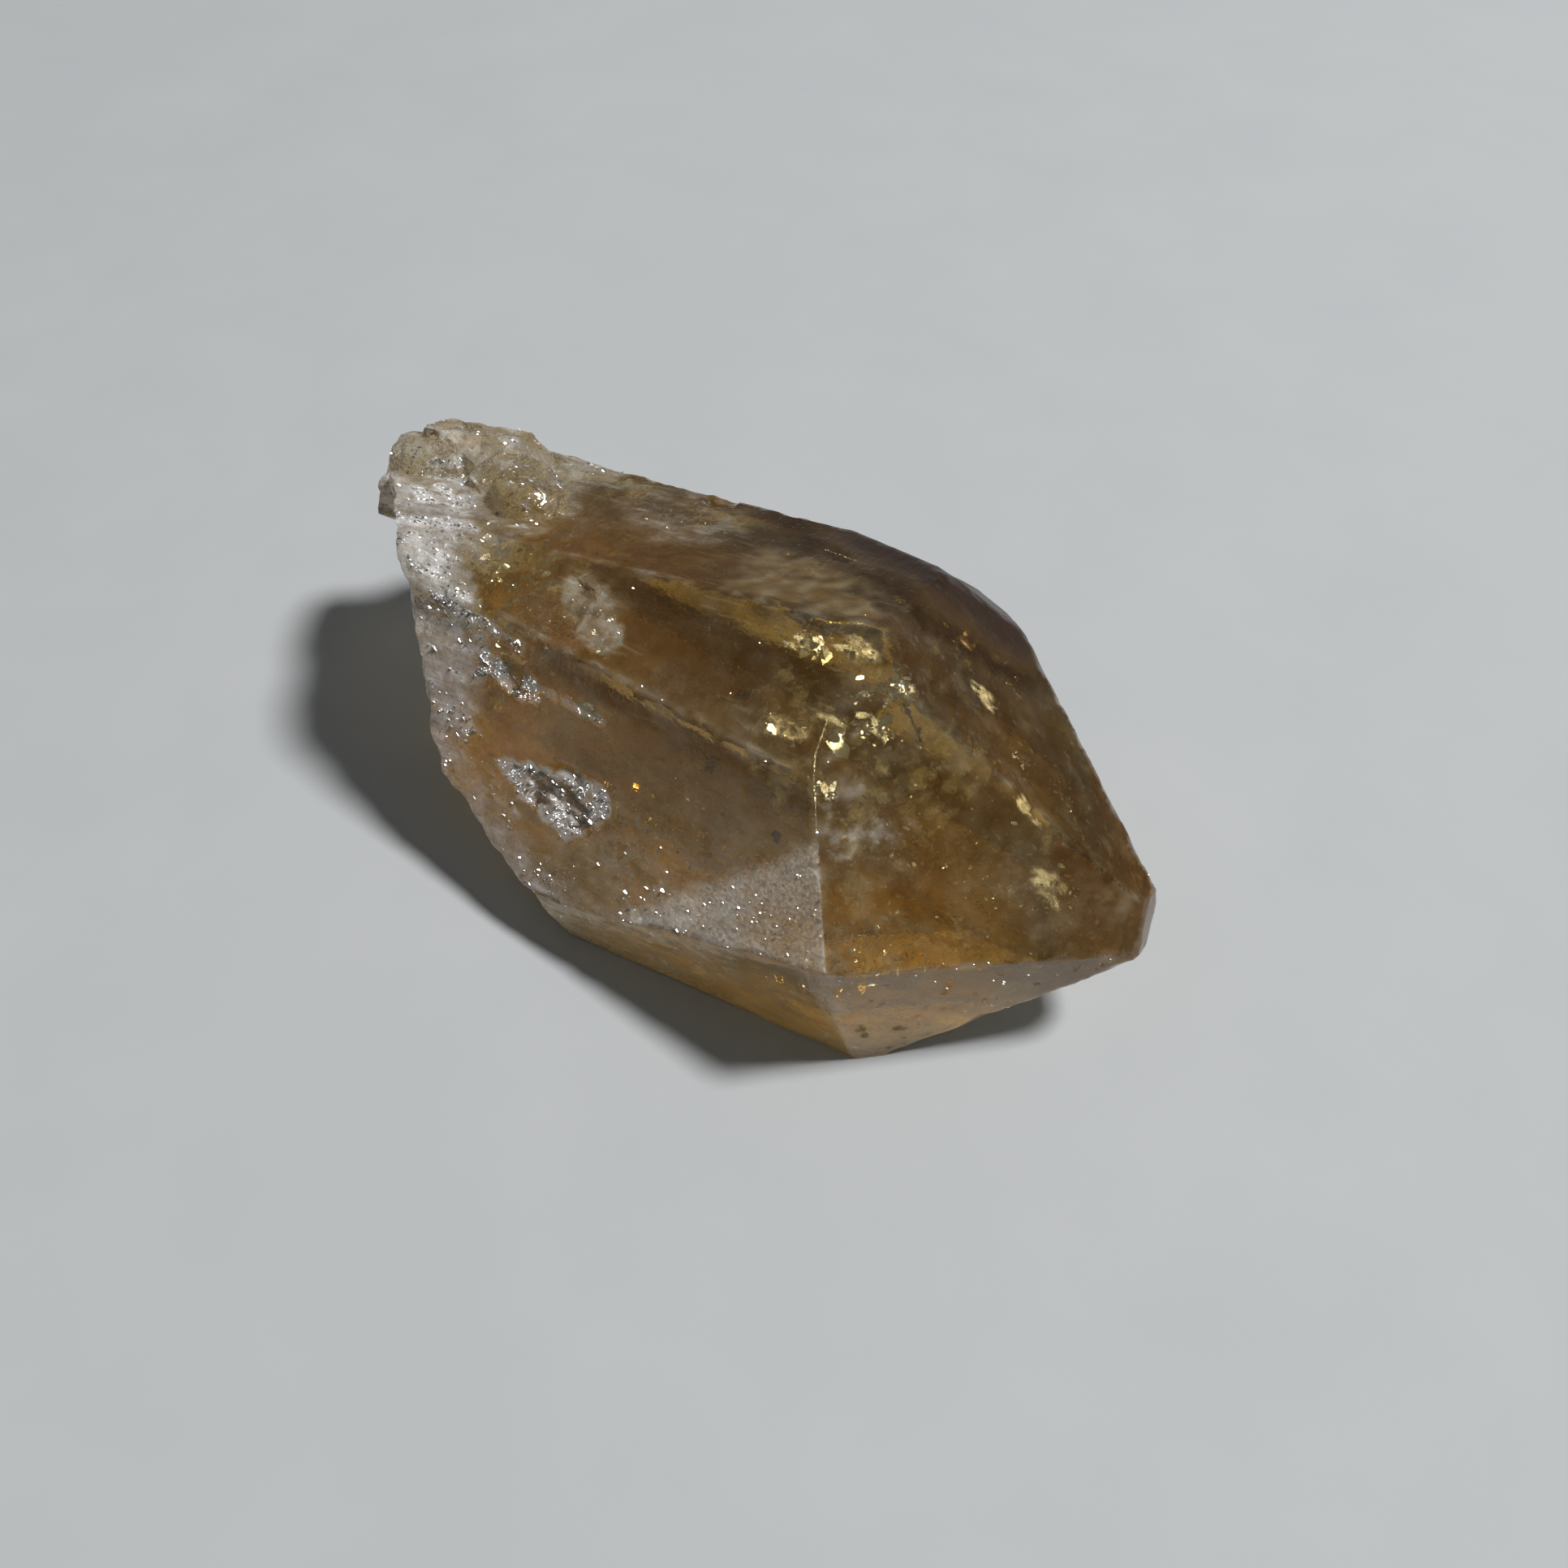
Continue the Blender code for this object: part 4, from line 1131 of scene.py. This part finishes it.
def sparks(name, groups, seed):
    """Tiny plates on broken skin: (weight at each vertex, count, size). Those that the
    photograph's light can reach lie so as to flash in it, the rest lie as the skin does."""
    rng = np.random.default_rng(seed)
    skin = outward.reshape(-1, 3)
    half_way = middle / np.linalg.norm(middle)
    chosen, sizes = [], []
    for weight, count, size in groups:
        weight = np.where(points[:, 2] > 0.6, np.clip(weight, 0, None), 0.0)
        pick = rng.choice(len(own), size=min(count, int(0.8 * np.count_nonzero(weight))), replace=False, p=weight / weight.sum())
        chosen.append(pick)
        sizes.append(np.clip(size * rng.lognormal(0, 0.5, len(pick)), 0.03, 0.40))
    chosen, sizes = np.concatenate(chosen), np.concatenate(sizes)
    narrow = rng.uniform(0.25, 0.9, len(sizes))
    reach = smooth_step(facing[chosen], 0.15, 0.35)[:, None]
    axes = half_way * reach + skin[chosen] * (1 - reach)
    loose = np.where(rng.random(len(chosen)) < 0.45, 0.05, 0.30)[:, None]
    axes = axes + loose * rng.normal(size=axes.shape)
    axes /= np.linalg.norm(axes, axis=1)[:, None]
    places = points[chosen] + 0.01 * skin[chosen]
    u = np.cross(axes, TURN[:, 0] + 0.22 * rng.normal(size=axes.shape))
    u /= np.linalg.norm(u, axis=1)[:, None]
    v = np.cross(axes, u)
    rim = []
    for k in range(6):
        angle = 2 * math.pi * k / 6
        long = 0.5 * sizes * (0.7 + 0.6 * rng.random(len(sizes)))
        rim.append(places + u * (narrow * long * math.cos(angle))[:, None] + v * (1.7 * long * math.sin(angle))[:, None])
    verts = np.stack([r + 0.010 * axes for r in rim] + [r - 0.010 * axes for r in rim], axis=1)
    pattern = [(0, k, k + 1) for k in range(1, 5)] + [(6, 6 + k + 1, 6 + k) for k in range(1, 5)]
    for k in range(6):
        j = (k + 1) % 6
        pattern += [(k, 6 + k, 6 + j), (k, 6 + j, j)]
    faces = (np.arange(len(places))[:, None, None] * 12 + np.array(pattern)).reshape(-1, 3)
    obj = mesh_object(name, verts.reshape(-1, 3), faces)
    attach(obj, "root")
    return obj


ledges = np.clip(noise(own * np.array((0.4, 1, 1)), 1.6, 83) + 0.25, 0, 1)
broken_skin = np.maximum(smooth_step(milk, 0.12, 0.5), lump) * ledges
front_half = smooth_step(facing, 0.2, 0.4)
spark = sparks(
    "sparks",
    (
        (broken_skin * front_half, 400, 0.10),
        (broken_skin, 160, 0.12),
        (smooth_step(painted_glint, 0.2, 0.6) * smooth_step(-x, 9.0, 14.0) * front_half, 300, 0.12),
        (smooth_step(painted_glint, 0.2, 0.6), 200, 0.12),
        (smooth_step(patch_distance(own, "frosted"), 0.0, 0.3), 70, 0.10),
        (bottom * ledges, 150, 0.07),
        (smooth_step(frosty, 0.0, 0.3) * front_half, 70, 0.045),
        (smooth_step(line, 0.25, 0.6) * ledges, 90, 0.07),
        (front_half * ledges * smooth_step(-x, -14.0, -2.0), 30, 0.045),
    ),
    401,
)
spark.data.materials.append(flake_material("spark", (0.97, 0.97, 0.98), 0.92, 0.15))
dark = marks(
    "dark_cracks",
    (
        (((25.3, 4.3, -2.1), (26.9, 3.0, -1.5), (29.0, 1.3, -0.7), (30.1, 0.2, -0.2)), 0.17),
        (((12.6, 8.5, -11.9), (12.5, 4.5, -14.2)), 0.09),
        (((16.7, 7.9, -8.4), (18.4, 9.3, -5.6)), 0.09),
        (((15.4, 11.9, -6.4), (16.0, 11.5, -5.8), (16.9, 10.9, -4.7)), 0.13),
        (((-28.7, 7.5, -9.9), (-28.6, 6.1, -10.8)), 0.20),
        (((-8.3, 12.2, -7.3), (-7.7, 12.4, -6.8)), 0.16),
    ),
    (
        ((19.0, 7.6, 9.8), 0.30),
        ((-13.8, 12.1, -7.5), 0.24),
        ((15.7, 11.7, -6.1), 0.34),
        ((16.5, 11.1, -5.3), 0.30),
    ),
    301,
)
dark.data.materials.append(flake_material("dark_seam", (0.085, 0.040, 0.018), 0.0, 0.5))
red = marks(
    "rust_grains",
    (),
    (
        ((10.9, 12.5, 3.6), 0.52),
        ((18.5, 5.8, 11.3), 0.34),
        ((1.8, 11.1, 5.5), 0.20),
        ((1.6, 10.7, 6.5), 0.22),
        ((4.1, 10.7, 7.0), 0.18),
        ((5.2, 10.5, 7.6), 0.20),
        ((-0.2, 1.4, 16.9), 0.22),
        ((-3.0, -9.0, 9.0), 0.40),
        ((9.0, -11.0, -4.0), 0.34),
    ),
    302,
)
red.data.materials.append(flake_material("rust_grain", (0.21, 0.040, 0.020), 0.0, 0.55))
bright = marks(
    "bright_cracks",
    (
        (((3.3, 4.0, -14.5), (5.1, 4.3, -14.4), (6.7, 4.7, -14.3)), 0.16),
        (((11.7, 13.2, -4.0), (12.0, 13.8, -1.9), (12.5, 14.1, -0.8)), 0.08),
        (((12.5, 14.1, -0.8), (13.6, 13.2, 2.3)), 0.07),
    ),
    (),
    303,
    flash=True,
)
bright.data.materials.append(flake_material("bright_crack", (0.97, 0.95, 0.90), 0.85, 0.20))

# ---------------------------------------------------------------------------
# Floor, light and camera
# ---------------------------------------------------------------------------
bm = bmesh.new()
bmesh.ops.create_grid(bm, x_segments=2, y_segments=2, size=3.0)
floor_mesh = bpy.data.meshes.new("floor")
bm.to_mesh(floor_mesh)
bm.free()
floor = bpy.data.objects.new("floor", floor_mesh)
floor.location = (0, 0, -0.00005)
bpy.context.scene.collection.objects.link(floor)
pale_floor = Tree("pale_floor")
pale_floor.set(
    Base_Color=pale_floor.mix(pale_floor.noise(14.0, 2.0, 0.6), (0.575, 0.595, 0.605), (0.625, 0.64, 0.645)),
    Roughness=0.85,
)
floor.data.materials.append(pale_floor.material)

key_data = bpy.data.lights.new("key", "AREA")
key_data.shape = "DISK"
key_data.size = 0.285
key_data.energy = 22.0
key = bpy.data.objects.new("key", key_data)
bpy.context.scene.collection.objects.link(key)
towards = Vector(TO_KEY)
key.location = towards * 1.6
key.rotation_euler = towards.to_track_quat("Z", "Y").to_euler()

world = bpy.data.worlds.new("studio")
bpy.context.scene.world = world
world.use_nodes = True
background = world.node_tree.nodes["Background"]
background.inputs["Color"].default_value = (0.90, 0.95, 1.0, 1)
background.inputs["Strength"].default_value = 0.092

camera_data = bpy.data.cameras.new("camera")
camera_data.lens = 36.056
camera_data.sensor_width = 36.0
camera_data.clip_start = 0.005
camera = bpy.data.objects.new("camera", camera_data)
bpy.context.scene.collection.objects.link(camera)
forward = Vector((-0.344476, 0.558346, -0.754710)).normalized()
up = Vector((-0.396274, 0.642303, 0.656059)).normalized()
right = forward.cross(up).normalized()
up = right.cross(forward)
pose = Matrix((right, up, -forward)).transposed().to_4x4()
pose.translation = Vector((42.80, -60.885, 89.448)) * MM
camera.matrix_world = pose
bpy.context.scene.camera = camera

scene = bpy.context.scene
scene.view_settings.view_transform = "Standard"
scene.view_settings.look = "None"
scene.cycles.max_bounces = 8
scene.cycles.transmission_bounces = 8
scene.cycles.glossy_bounces = 4
scene.cycles.diffuse_bounces = 2
scene.cycles.transparent_max_bounces = 8

log("scene ready")
